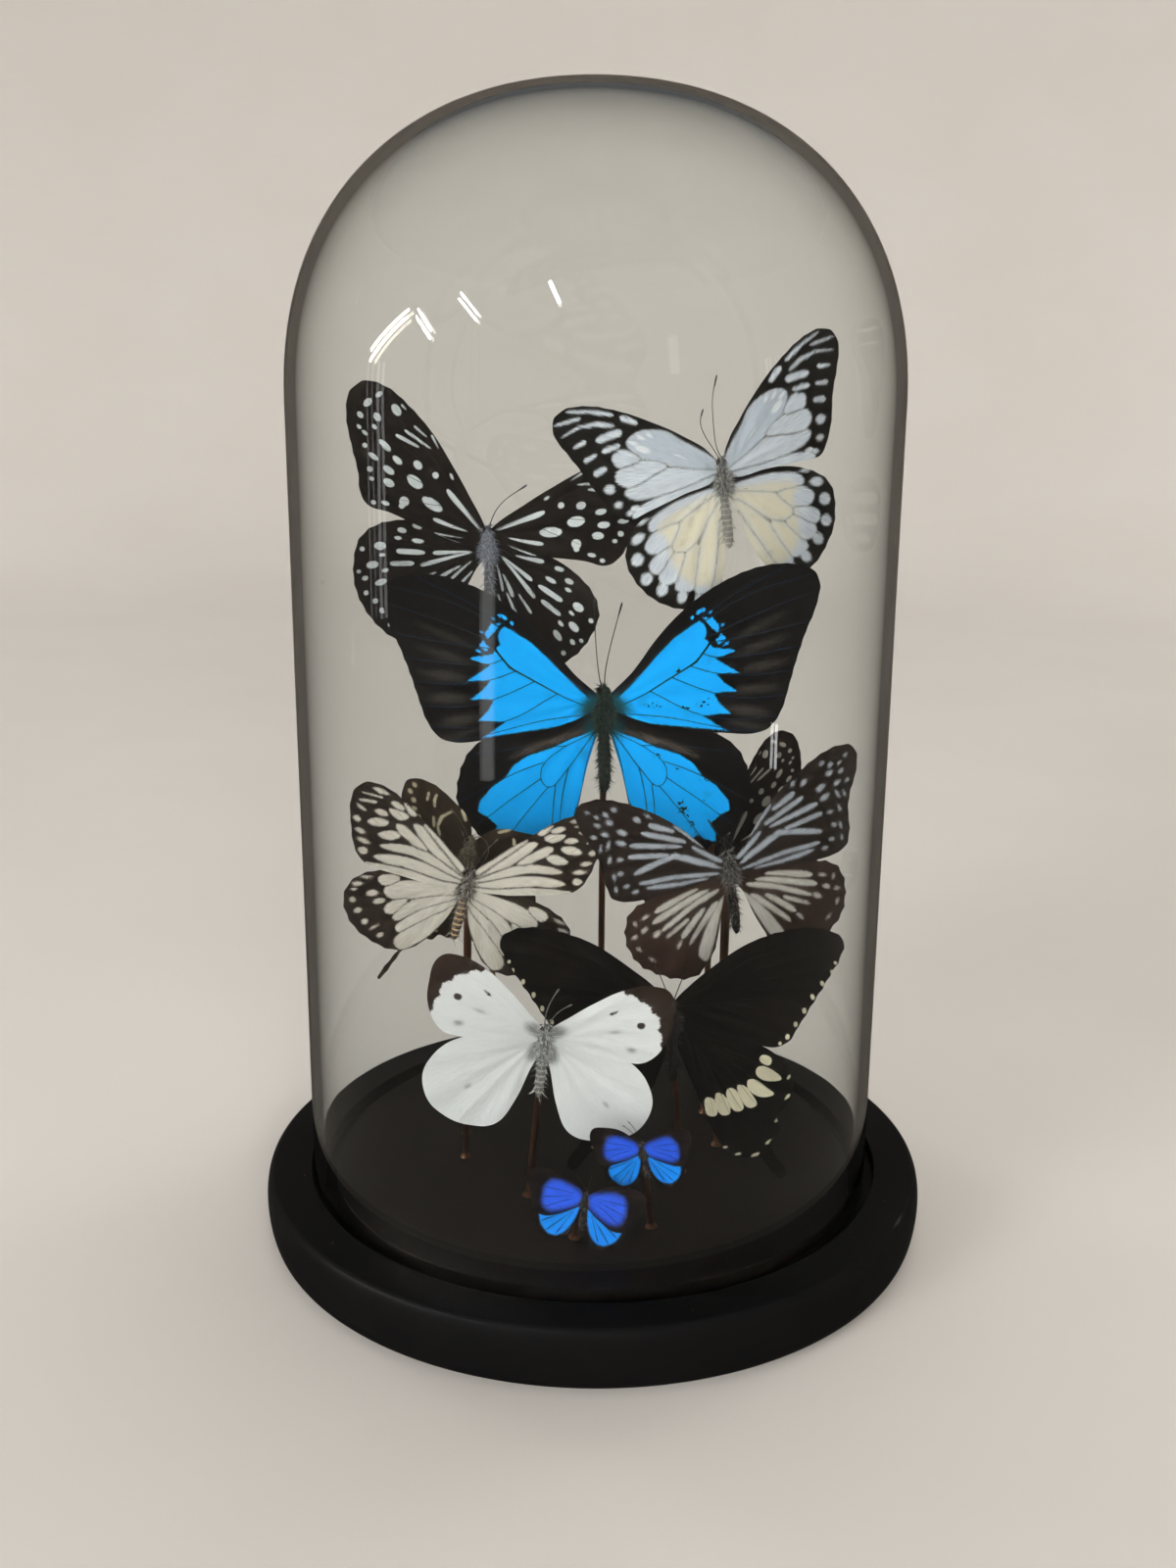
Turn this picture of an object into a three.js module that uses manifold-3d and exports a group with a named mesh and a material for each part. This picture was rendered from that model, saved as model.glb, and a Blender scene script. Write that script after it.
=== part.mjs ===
// Eleven dried butterflies under a glass dome on a turned, black-painted wooden base.
// Millimetres, +Z up. The origin is the centre of the base's underside, and the specimens face -Y.
import * as THREE from 'three';
import { mergeVertices } from 'three/addons/utils/BufferGeometryUtils.js';
import Module from 'manifold-3d';

// Turned base: a flat outer ring, a groove for the glass and a raised inner disc
const BASE_HEIGHT = 18;
const RING_EDGE_RADIUS = 98.2;
const BASE_RADIUS = 100.4;
const UNDERSIDE_RADIUS = 97.5;
const WIDEST_HEIGHT = 11;
const GROOVE_OUTER_RADIUS = 86.8;
const DISC_RADIUS = 79.4;
const GROOVE_DEPTH = 4;

// Blown glass dome: a straight cylinder with a crown a little squarer than a half sphere
const DOME_RADIUS = 85;
const DOME_WALL = 3;
const DOME_TOP = 327;
const CROWN_HEIGHT = 84;
const CROWN_POWER = 2.25;
const DOME_SHIFT_X = -1.2;

// Clearances and facets
const GAP = 0.3;
const LIP_ROUND = 0.9;
const BASE_SEGMENTS = 48;
const DOME_SEGMENTS = 40;
const CROWN_STEPS = 7;
const ROUND_STEPS = 4;
const BODY_SEGMENTS = 8;

// Specimens: wings are thin blades, the forewing lies over the hindwing
const WING_THICKNESS = 0.4;
const WING_OFFSET = 0.45;
const WING_STEPS = 24;
const TAILED_WING_STEPS = 40;
const SMALL_WING_STEPS = 16;
const BODY_DEPTH = 0.9;

// Wing outlines of each kind, from the hinge: x outwards, y towards the head
const KINDS = {
  spotted: {
    fore: [[0, 0], [4.5, 13], [9, 22], [15, 31], [21, 37.5], [27, 42.5], [34, 44.5], [39, 41], [40, 34],
      [38.5, 26], [36.5, 18], [36, 12.5], [33.5, 8.5], [27, 6.5], [18, 2.5], [8, -1.5], [2, -3]],
    hind: [[0, 0], [6, 5], [14, 8], [24, 9], [32, 7.5], [37, 3.5], [39, -3], [39, -10], [37, -16],
      [33, -22], [27, -27], [20, -29.5], [13, -27], [7.5, -17], [3, -7]],
  },
  whiteVeined: {
    fore: [[0, 0], [3, 6.5], [9, 11.5], [18, 16.5], [27, 20.5], [36, 23], [43, 22.8], [46.5, 20], [46.5, 15.5],
      [43.5, 10.5], [39.5, 4.5], [35.5, -2.5], [31.5, -8], [27.5, -10.5], [20, -8.5], [10, -5.5], [2, -3]],
    hind: [[0, 0], [7, -0.5], [16, -2.5], [24, -6.5], [29, -11.5], [30.5, -17], [29, -23], [25.5, -28.5],
      [20, -33], [13, -35.5], [7, -34], [3, -28], [1, -17], [0.5, -7]],
  },
  blueSwallowtail: {
    fore: [[0, 0], [6, 9], [12, 18], [19, 26], [26, 32], [34, 37], [43, 40.5], [52, 41.5], [58.5, 40], [61, 36],
      [60, 29], [57, 21], [54.5, 13], [52.5, 5], [50.5, -2], [47, -7.5], [42, -9.5], [34, -9.5], [20, -8.5],
      [8, -6], [2, -3]],
    hind: [[0, 0], [8, -1], [20, -4], [32, -7], [38, -12], [41, -20], [41, -28], [37.5, -34], [33, -39],
      [28, -42.5], [22, -44.5], [17.5, -47], [15.5, -50], [15, -54], [11.5, -55.5], [8, -53.5], [9, -49.5],
      [12, -46], [10.5, -43], [6.5, -39.5], [5, -31], [3, -18], [1, -8]],
    tailed: true,
  },
  creamStriped: {
    fore: [[0, 0], [4, 9.5], [10.5, 18], [16.5, 25], [21, 28.5], [26, 30], [29.5, 28], [31, 24], [31, 17.5],
      [30.5, 11.5], [28.5, 7], [24, 4], [16, 1], [8, -1.5], [2, -2.5]],
    hind: [[0, 0], [7, 3.5], [15, 5], [23, 5.5], [29, 4], [32.5, 0.5], [33.5, -4], [32, -9.5], [28, -14.5],
      [22, -18.5], [15.5, -19.5], [10, -16.5], [5, -11], [2, -5]],
  },
  darkStriped: {
    fore: [[0, 0], [5.5, 5.5], [11.5, 11], [18.5, 15.5], [26, 19], [33.5, 21.5], [40, 22], [44.5, 20], [45, 16.5],
      [43, 12], [39.5, 7], [37, 1.5], [35.5, -4], [33, -8.5], [28, -9.5], [19, -8], [9, -5.5], [2, -3]],
    hind: [[0, 0], [8, -1], [16, -3.5], [23, -6.5], [28.5, -10], [30, -15], [29, -21], [25, -27], [19, -30.5],
      [12.5, -32.5], [8, -32], [4, -27], [2, -18], [1, -7]],
  },
  swordtail: {
    fore: [[0, 0], [0, 5.5], [1.5, 10], [4.8, 13.5], [8.6, 16.4], [12.8, 18.4], [17.4, 18.8], [19.8, 17.6],
      [20.6, 14.5], [19.8, 10], [17.5, 5], [13, 1], [7, -1.5], [2, -2.5]],
    hind: [[0, 0], [7, -0.5], [15, -3], [20, -8], [20.5, -14], [18, -20], [15.8, -24], [19.5, -29], [27, -39],
      [26, -40.3], [17, -31.5], [12.5, -27], [9.5, -27.5], [7.5, -26], [5, -27], [3.5, -24], [2.5, -16], [1, -5]],
    tailed: true,
  },
  blackSwallowtail: {
    fore: [[0, 0], [5, 7.5], [11, 13], [19, 18.5], [28, 22.5], [37, 24.5], [43.5, 23.5], [47, 20.5], [46, 15.5],
      [43, 10], [40, 4.5], [37, -0.5], [34, -5.5], [31, -10.5], [26, -12.5], [16, -9.5], [7, -6], [2, -3.5]],
    hind: [[0, 0], [10, -1], [20, -5], [27, -8.5], [31, -13], [33, -18.5], [31.5, -24], [28.5, -28],
      [29.5, -33], [26.5, -37.5], [28, -41], [31.5, -46], [30, -48.5], [27, -46], [23.5, -42], [19, -43],
      [14, -41.5], [10.5, -36.5], [7.5, -29], [4, -19], [1, -9]],
    tailed: true,
  },
  white: {
    fore: [[0, 0], [3.5, 7.5], [8.5, 15], [14, 21], [20, 25], [25.5, 26], [28.5, 23.5], [30, 18], [30.5, 12.5],
      [29, 6.5], [26, 2.5], [20, 0.5], [10, -1], [2, -2]],
    hind: [[0, 0], [7, 3], [15, 4], [22, 3], [28, 0], [32, -5.5], [32.5, -11], [30, -17.5], [24, -22.5],
      [16, -25], [11, -23.5], [6.5, -17], [3, -8]],
  },
  smallBlue: {
    fore: [[0, 0], [4.5, 4.5], [9, 6.2], [13.5, 5.8], [14.5, 4], [13.5, 0], [12, -4], [9.5, -5.2], [5, -4],
      [0.5, -1.5]],
    hind: [[0, 0], [5, -2], [9.5, -4], [10.5, -6.5], [9, -9.5], [6, -11.3], [3, -11], [0.8, -8], [0, -3]],
  },
};

// Bodies: thorax radius, and lengths from the wings' centre up to the crown of the head and down to the tail
const BODIES = {
  stout: { thorax: 2.9, head: 9, tail: 25, abdomen: 2.1 },
  medium: { thorax: 2.3, head: 7, tail: 20, abdomen: 1.6 },
  slim: { thorax: 2.1, head: 6.2, tail: 17, abdomen: 1.5 },
  small: { thorax: 1.1, head: 3.4, tail: 8, abdomen: 0.8 },
};

// Each specimen: the wings' centre, its turns in degrees (roll in its own plane, yaw about the vertical, lean
// with the head back), how far its left and right wings rise towards the front, and how far each wing is
// lifted from its kind's outline. A rod stands behind the thorax, straight up unless a foot is given.
const SPECIMENS = [
  { name: 'grey_spotted', kind: 'spotted', body: 'medium', at: [-33.6, 29, 200.8], roll: 1, yaw: 0,
    rise: [8, 8], lift: { fore: [2, -29], hind: [0, -38] }, hinge: 5, behind: 1.9, colour: 0x2a2523 },
  { name: 'white_veined', kind: 'whiteVeined', body: 'medium', at: [36.4, 21, 222.1], roll: 8, yaw: 14,
    rise: [0, -4], lift: { fore: [1, 20], hind: [-3, 14] }, hinge: 4, colour: 0xd9dcdc },
  { name: 'blue_swallowtail', kind: 'blueSwallowtail', body: 'stout', at: [2, 17, 152.8], roll: 1, yaw: 2,
    rise: [6, 6], lift: { fore: [-2, 0], hind: [2, 1] }, hinge: 5, colour: 0x1787d6 },
  { name: 'cream_striped', kind: 'creamStriped', body: 'slim', at: [-37.8, -11, 106.7], roll: -14, yaw: 5,
    rise: [3, 3], lift: { fore: [-14, -5], hind: [-14, -16] }, hinge: 3, foot: [-39.5, -7.4],
    colour: 0xcfc6b2 },
  { name: 'dark_striped', kind: 'darkStriped', body: 'medium', at: [40.1, -1.7, 109.2], roll: 8, yaw: 11,
    rise: [3, 3], lift: { fore: [9, 14], hind: [7, 13] }, hinge: 3, foot: [38.8, 1.8],
    colour: 0x4a4240 },
  { name: 'brown_swordtail', kind: 'swordtail', body: 'slim', at: [-38.5, 4, 112], roll: -8, yaw: 0,
    rise: [3, 3], lift: { fore: [4, -38], hind: [-9, -4] }, hinge: 2, foot: [-40.5, 7.5], colour: 0x4b3a2a },
  { name: 'dark_spotted', kind: 'spotted', scale: 0.72, body: 'slim', at: [42, 31, 105], roll: 4, yaw: 0,
    rise: [0, 6], lift: { fore: [8, 14], hind: [-6, -10] }, hinge: 3, colour: 0x2c2622 },
  { name: 'black_swallowtail', kind: 'blackSwallowtail', body: 'medium', at: [22.8, -19.5, 69.2], roll: 2,
    yaw: -8, rise: [2, 2], lift: { fore: [-1, 2], hind: [-2, -1] }, hinge: 6, foot: [26.6, -16],
    colour: 0x1d1815 },
  { name: 'cabbage_white', kind: 'white', body: 'slim', at: [-14.2, -33, 67.4], roll: -6, yaw: -1,
    rise: [9, 9], lift: { fore: [-6, -12], hind: [-8, -11] }, hinge: 3, foot: [-19, -31], colour: 0xe9eae3 },
  { name: 'small_blue_upper', kind: 'smallBlue', body: 'small', at: [13.8, -50, 42.6], roll: 12, yaw: -8,
    rise: [8, 8], lift: { fore: [12, -4], hind: [12, 3] }, hinge: 1.5, onePiece: true, foot: [16.6, -48],
    colour: 0x2f5fd0 },
  { name: 'small_blue_lower', kind: 'smallBlue', scale: 1.12, body: 'small', at: [-2.1, -57.5, 31.3], roll: -4,
    yaw: -3, lean: 18, rise: [5, 5], lift: { fore: [0, -15], hind: [16, 2] }, hinge: 1.5, onePiece: true,
    foot: [-5, -54.5], colour: 0x2f6fe0 },
];

// Rods: copper-coloured wire with a small flange where it enters the disc
const ROD_RADIUS = 1;
const FLANGE_HEIGHT = 0.8;
const FLANGE_RADIUS = 1.7;

const wasm = await Module();
wasm.setup();
const display = new THREE.Group();
display.name = 'insect_dome';

function finish(colour, roughness, metalness = 0, opacity = 1) {
  return new THREE.MeshStandardMaterial({ color: colour, roughness, metalness, opacity, transparent: opacity < 1 });
}

function addMesh(parent, name, geometry, material) {
  const mesh = new THREE.Mesh(geometry, material);
  mesh.name = name;
  parent.add(mesh);
  return mesh;
}

// Revolves a profile of [radius, height] points about Z
function revolve(profile, segments) {
  const points = profile.map(([radius, height]) => new THREE.Vector2(radius, height));
  return new THREE.LatheGeometry(points, segments).rotateX(Math.PI / 2);
}

// Points on a quarter or part turn of a circle, as [radius, height]
function arc(centreRadius, centreHeight, acrossSize, upSize, from, to, steps) {
  return Array.from({ length: steps + 1 }, (_, i) => {
    const angle = THREE.MathUtils.degToRad(from + ((to - from) * i) / steps);
    return [centreRadius + acrossSize * Math.cos(angle), centreHeight + upSize * Math.sin(angle)];
  });
}

function makeBase() {
  const crown = BASE_HEIGHT - WIDEST_HEIGHT;
  const across = BASE_RADIUS - RING_EDGE_RADIUS;
  const profile = [
    [0, 0],
    ...arc(UNDERSIDE_RADIUS, WIDEST_HEIGHT, BASE_RADIUS - UNDERSIDE_RADIUS, WIDEST_HEIGHT, -90, 0, ROUND_STEPS),
    ...arc(RING_EDGE_RADIUS, WIDEST_HEIGHT, across, crown, 0, 90, ROUND_STEPS).slice(1),
    [GROOVE_OUTER_RADIUS, BASE_HEIGHT],
    [GROOVE_OUTER_RADIUS, BASE_HEIGHT - GROOVE_DEPTH],
    [DISC_RADIUS, BASE_HEIGHT - GROOVE_DEPTH],
    [DISC_RADIUS, BASE_HEIGHT],
    [0, BASE_HEIGHT],
  ];
  addMesh(display, 'base', revolve(profile, BASE_SEGMENTS), finish(0x141313, 0.45));
}

// Superellipse from the cylinder's top edge to the axis
function crownProfile(radius, height, base) {
  return Array.from({ length: CROWN_STEPS + 1 }, (_, i) => {
    const angle = (Math.PI / 2) * (i / CROWN_STEPS);
    const across = i === CROWN_STEPS ? 0 : radius * Math.cos(angle) ** (2 / CROWN_POWER);
    return [across, base + height * Math.sin(angle) ** (2 / CROWN_POWER)];
  });
}

function makeDome() {
  const foot = BASE_HEIGHT - GROOVE_DEPTH + GAP;
  const shoulder = DOME_TOP - CROWN_HEIGHT;
  const innerRadius = DOME_RADIUS - DOME_WALL;
  const profile = [
    ...crownProfile(innerRadius, CROWN_HEIGHT - DOME_WALL, shoulder).reverse(),
    [innerRadius, foot + LIP_ROUND],
    [innerRadius + LIP_ROUND, foot],
    [DOME_RADIUS - LIP_ROUND, foot],
    [DOME_RADIUS, foot + LIP_ROUND],
    ...crownProfile(DOME_RADIUS, CROWN_HEIGHT, shoulder),
  ];
  const dome = addMesh(display, 'glass_dome', revolve(profile, DOME_SEGMENTS), finish(0xf4f8f8, 0.03, 0, 0.2));
  dome.position.x = DOME_SHIFT_X;
}

// Head, thorax and abdomen as one turned body, its tail down and its head up
function bodyGeometry({ thorax, head, tail, abdomen }) {
  const headRadius = thorax * 0.62;
  const profile = [
    [0, -tail],
    [abdomen * 0.7, -tail * 0.93],
    [abdomen, -tail * 0.6],
    [abdomen * 0.72, -thorax * 1.9],
    [thorax * 0.85, -thorax * 1.3],
    [thorax, 0],
    [thorax * 0.82, thorax * 1.2],
    [headRadius * 0.7, head - headRadius * 2.1],
    [headRadius, head - headRadius * 1.1],
    [0, head],
  ];
  return revolve(profile, BODY_SEGMENTS).scale(1, BODY_DEPTH, 1);
}

// A blade with the outline of one wing, its faces square to Y and its hinge at the origin
function wingGeometry(outline, side, scale, steps) {
  const knots = outline.map(([x, y]) => new THREE.Vector3(side * x * scale, y * scale, 0));
  const edge = new THREE.CatmullRomCurve3(knots, true, 'centripetal').getPoints(steps).slice(0, -1);
  const shape = new THREE.Shape(edge.map((point) => new THREE.Vector2(point.x, point.y)));
  const blade = new THREE.ExtrudeGeometry(shape, { depth: WING_THICKNESS, bevelEnabled: false, steps: 1 });
  return blade.translate(0, 0, -WING_THICKNESS / 2).rotateX(Math.PI / 2);
}

function solidOf(mesh) {
  const bare = mesh.geometry.clone().applyMatrix4(mesh.matrix);
  bare.deleteAttribute('normal');
  bare.deleteAttribute('uv');
  const merged = mergeVertices(bare);
  return new wasm.Manifold(new wasm.Mesh({
    numProp: 3,
    vertProperties: new Float32Array(merged.attributes.position.array),
    triVerts: new Uint32Array(merged.index.array),
  }));
}

function geometryOf(solid) {
  const { vertProperties, triVerts } = solid.getMesh();
  const geometry = new THREE.BufferGeometry();
  geometry.setAttribute('position', new THREE.BufferAttribute(new Float32Array(vertProperties), 3));
  geometry.setIndex(new THREE.BufferAttribute(new Uint32Array(triVerts), 1));
  geometry.computeVertexNormals();
  return geometry;
}

function makeWing(specimen, pair, side) {
  const kind = KINDS[specimen.kind];
  const isFore = pair === 'fore';
  const scale = specimen.scale ?? 1;
  const plainSteps = specimen.onePiece ? SMALL_WING_STEPS : WING_STEPS;
  const steps = kind.tailed && !isFore ? TAILED_WING_STEPS : plainSteps;
  const root = specimen.onePiece ? 0 : BODIES[specimen.body].thorax + GAP;
  const wing = new THREE.Mesh(wingGeometry(kind[pair], side, scale, steps), finish(specimen.colour, 0.7));
  wing.name = `${specimen.name}_${side < 0 ? 'left' : 'right'}_${pair}wing`;
  wing.position.set(side * root, isFore ? -WING_OFFSET : specimen.behind ?? WING_OFFSET, isFore ? specimen.hinge * 0.8 : 0);
  const lift = specimen.lift[pair][side < 0 ? 0 : 1];
  const rise = THREE.MathUtils.degToRad(specimen.rise[side < 0 ? 0 : 1]);
  wing.rotation.set(0, THREE.MathUtils.degToRad(-side * lift), -side * rise, 'ZXY');
  wing.updateMatrix();
  return wing;
}

function makeSpecimen(specimen) {
  const group = new THREE.Group();
  const [lean, roll, yaw] = [-(specimen.lean ?? 0), -specimen.roll, specimen.yaw].map(THREE.MathUtils.degToRad);
  group.position.set(...specimen.at);
  group.rotation.set(lean, roll, yaw, 'ZXY');
  const body = new THREE.Mesh(bodyGeometry(BODIES[specimen.body]), finish(0x2b2522, 0.9));
  body.name = `${specimen.name}_body`;
  const wings = ['fore', 'hind'].flatMap((pair) => [-1, 1].map((side) => makeWing(specimen, pair, side)));
  if (specimen.onePiece) {
    const whole = wings.reduce((solid, wing) => solid.add(solidOf(wing)), solidOf(body));
    addMesh(group, specimen.name, geometryOf(whole), finish(specimen.colour, 0.5));
  } else {
    group.add(body, ...wings);
  }
  display.add(group);
}

// A straight wire from its foot on the disc to the back of the thorax
function makeRod(specimen) {
  const behind = BODIES[specimen.body].thorax + ROD_RADIUS + GAP;
  const [x, y, z] = specimen.at;
  const [footX, footY] = specimen.foot ?? [x, y + behind];
  const slope = Math.hypot(x - footX, y + behind - footY) / (z - BASE_HEIGHT);
  const foot = new THREE.Vector3(footX, footY, BASE_HEIGHT + GAP + FLANGE_RADIUS * slope);
  const top = new THREE.Vector3(x, y + behind, z);
  const along = top.clone().sub(foot);
  const length = along.length();
  const profile = [
    [0, 0],
    [FLANGE_RADIUS, 0],
    [FLANGE_RADIUS, FLANGE_HEIGHT / 2],
    [ROD_RADIUS, FLANGE_HEIGHT],
    [ROD_RADIUS, length],
    [0, length],
  ];
  const rod = addMesh(display, `${specimen.name}_rod`, revolve(profile, BODY_SEGMENTS), finish(0x7a5648, 0.45, 0.6));
  rod.position.copy(foot);
  rod.quaternion.setFromUnitVectors(new THREE.Vector3(0, 0, 1), along.normalize());
}

makeBase();
makeDome();
SPECIMENS.forEach(makeSpecimen);
SPECIMENS.forEach(makeRod);

export default display;
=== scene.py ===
import math

import bpy
import numpy as np
from mathutils import Matrix, Vector
from mathutils.geometry import delaunay_2d_cdt


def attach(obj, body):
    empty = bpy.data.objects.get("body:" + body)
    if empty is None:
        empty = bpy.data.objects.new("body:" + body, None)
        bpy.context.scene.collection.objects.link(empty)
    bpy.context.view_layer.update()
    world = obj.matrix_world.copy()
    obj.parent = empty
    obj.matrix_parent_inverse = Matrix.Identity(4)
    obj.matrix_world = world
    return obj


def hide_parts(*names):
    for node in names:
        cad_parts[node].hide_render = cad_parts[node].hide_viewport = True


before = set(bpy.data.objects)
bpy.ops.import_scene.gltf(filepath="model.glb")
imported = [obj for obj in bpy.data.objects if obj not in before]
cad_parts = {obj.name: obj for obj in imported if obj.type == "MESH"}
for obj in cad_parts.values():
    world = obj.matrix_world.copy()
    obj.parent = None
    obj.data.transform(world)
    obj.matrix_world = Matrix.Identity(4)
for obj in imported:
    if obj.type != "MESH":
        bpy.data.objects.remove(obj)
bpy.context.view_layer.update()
MM = 0.001

# --- Camera ---------------------------------------------------------------------------------------
# It stands in front of the dome at three quarters of its height and looks a little down. The shift
# is the framing's small offset to the side.
CAMERA_PLACE = (0.0, -0.4525, 0.2544)
CAMERA_PITCH = 75.228
CAMERA_ROLL = 0.543

camera_data = bpy.data.cameras.new("front_camera")
camera_data.sensor_width = 36.0
camera_data.lens = 36.405
camera_data.shift_x = -0.00547
camera_data.clip_start = 0.01
camera = bpy.data.objects.new("front_camera", camera_data)
camera_turn = (Matrix.Rotation(math.radians(CAMERA_PITCH), 4, "X")
               @ Matrix.Rotation(math.radians(CAMERA_ROLL), 4, "Z"))
camera.matrix_world = Matrix.Translation(CAMERA_PLACE) @ camera_turn
bpy.context.scene.collection.objects.link(camera)
bpy.context.scene.camera = camera
bpy.context.scene.view_settings.view_transform = "Standard"


# --- Studio: a pale floor that curves up all round, and soft lamps ---------------------------------
# Matt painted board, so that the glass has an even pale ground behind it on every side.
STAGE_FLAT = 1300.0
STAGE_RADIUS = 2600.0
STAGE_HEIGHT = 1900.0


def colour(code, alpha=1.0):
    """An sRGB hex colour as the linear values that a shader takes."""
    channels = [int(code[i:i + 2], 16) / 255 for i in (1, 3, 5)]
    linear = [c / 12.92 if c <= 0.04045 else ((c + 0.055) / 1.055) ** 2.4 for c in channels]
    return (*linear, alpha)


def add(tree, kind, inputs=None, **settings):
    """Adds a node with its settings. A kind without "Node" in it is a shader node.

    An input takes a value, a hex colour, a link, a node (for its factor or its first output) or a list.
    """
    node = tree.nodes.new(kind if "Node" in kind else "ShaderNode" + kind)
    for name, value in settings.items():
        setattr(node, name, value)
    for name, value in (inputs or {}).items():
        for link in value if isinstance(value, list) else [value]:
            if isinstance(link, bpy.types.Node):
                live = [output for output in link.outputs if output.enabled]
                link = next((output for output in live if output.name == "Fac"), live[0])
            if isinstance(link, bpy.types.NodeSocket):
                tree.links.new(link, node.inputs[name])
            else:
                node.inputs[name].default_value = colour(link) if str(link).startswith("#") else link
    return node


def new_material(name):
    """A material, its empty tree and the piece's own coordinates in metres."""
    material = bpy.data.materials.new(name)
    material.use_nodes = True
    material.node_tree.nodes.clear()
    return material, material.node_tree, add(material.node_tree, "TexCoord").outputs["Object"]


def new_object(name, mesh, *materials):
    piece = bpy.data.objects.new(name, mesh)
    bpy.context.scene.collection.objects.link(piece)
    for material in materials:
        mesh.materials.append(material)
    return piece


def turned_mesh(name, profile, segments):
    """Revolves (radius, height) points in mm about Z. A point on the axis closes the shape."""
    angles = np.arange(segments) * 2 * math.pi / segments
    points, rings = [], []
    for radius, height in profile:
        if radius < 1e-6:
            rings.append([len(points)] * segments)
            points.append((0, 0, height * MM))
        else:
            rings.append(list(range(len(points), len(points) + segments)))
            points += [(radius * MM * math.cos(a), radius * MM * math.sin(a), height * MM) for a in angles]
    faces = []
    for low, high in zip(rings, rings[1:]):
        for i in range(segments):
            j = (i + 1) % segments
            corners = [low[i], low[j], high[j], high[i]]
            faces.append([c for k, c in enumerate(corners) if c != corners[k - 1]])
    mesh = bpy.data.meshes.new(name)
    mesh.from_pydata(points, [], faces)
    mesh.shade_smooth()
    return mesh


stage_wall = [(STAGE_FLAT + (STAGE_RADIUS - STAGE_FLAT) * math.sin(a),
               STAGE_HEIGHT * (1 - math.cos(a))) for a in np.linspace(0, math.pi / 2, 24)]
stage_mesh = turned_mesh("stage", [(0, 0), (400, 0), (900, 0), *stage_wall], 96)
stage_mesh.flip_normals()

# Matt board: no gloss, pale warm grey with a very faint mottle
board, tree, place = new_material("matt_painted_board")
mottle = add(tree, "TexNoise", {"Vector": place, "Scale": 6.0, "Detail": 3.0})
tone = add(tree, "Mix", {0: mottle, 6: "#BDB6AD", 7: "#C4BEB6"}, data_type="RGBA")
add(tree, "OutputMaterial", {"Surface": add(tree, "BsdfPrincipled", {"Base Color": tone, "Roughness": 0.9})})
stage = new_object("stage", stage_mesh, board)

world = bpy.data.worlds.new("studio")
world.use_nodes = True
world.node_tree.nodes["Background"].inputs["Color"].default_value = colour("#E6EAEE")
world.node_tree.nodes["Background"].inputs["Strength"].default_value = 0.10
bpy.context.scene.world = world


def softbox(name, place, aim, width, height, power, tint="#FFFFFF", glint=False, turn=0):
    """A lamp that lights the scene and has no image in the glass, or a small one that is only such an image.

    The first kind fades out towards its edges and gives nothing to what is seen mirrored in the glass.
    """
    lamp = bpy.data.lights.new(name, "AREA")
    lamp.shape = "RECTANGLE"
    lamp.size, lamp.size_y = width, height
    lamp.energy = power
    lamp.color = colour(tint)[:3]
    if not glint:
        lamp.use_nodes = True
        lamp.node_tree.nodes.clear()
        tree = lamp.node_tree
        where = add(tree, "NewGeometry")
        offset = add(tree, "VectorMath", {0: where.outputs["Parametric"], 1: (0.5, 0.5, 0)},
            operation="SUBTRACT")
        away = add(tree, "VectorMath", {0: offset}, operation="LENGTH")
        fade = add(tree, "MapRange", {"Value": away, "From Min": 0.5, "From Max": 0.1},
            interpolation_type="SMOOTHSTEP")
        way = add(tree, "LightPath")
        matt = add(tree, "Math", {0: way.outputs["Diffuse Depth"], 1: 1.5}, operation="LESS_THAN")
        mirrored = add(tree, "Math", {0: way.outputs["Glossy Depth"], 1: 0.5}, operation="GREATER_THAN")
        image = add(tree, "Math", {0: mirrored, 1: matt}, operation="MULTIPLY")
        rest = add(tree, "Math", {0: 1.0, 1: image}, operation="SUBTRACT")
        lit = add(tree, "Math", {0: fade, 1: rest}, operation="MULTIPLY")
        add(tree, "OutputLight", {"Surface": add(tree, "Emission", {"Strength": lit})})
    holder = bpy.data.objects.new(name, lamp)
    facing = (Vector(aim) - Vector(place)).to_track_quat("-Z", "Y").to_matrix().to_4x4()
    holder.matrix_world = Matrix.Translation(place) @ facing @ Matrix.Rotation(math.radians(turn), 4, "Z")
    holder.visible_camera = False
    holder.visible_glossy = glint
    holder.visible_diffuse = not glint
    bpy.context.scene.collection.objects.link(holder)


# Each lamp: name, place and aim in metres, width and height in metres, power in watts, tint
LAMPS = [
    ("overhead_softbox", (0.2, 0.6, 2.3), (0, 0.6, 0.1), 3.0, 3.0, 110),
    ("left_softbox", (-1.5, -1.4, 0.6), (0, 0, 0.15), 1.2, 1.0, 115, "#F4F8FF"),
    ("front_fill", (0.3, -2.2, 0.55), (0, 0, 0.15), 2.2, 0.9, 440),
    ("back_left_fill", (-1.8, 1.5, 0.8), (0, 0, 0.15), 1.0, 1.2, 60),
    ("back_right_fill", (1.8, 1.5, 0.8), (0, 0, 0.15), 1.0, 1.2, 60),
]
for lamp_row in LAMPS:
    softbox(*lamp_row)

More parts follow.
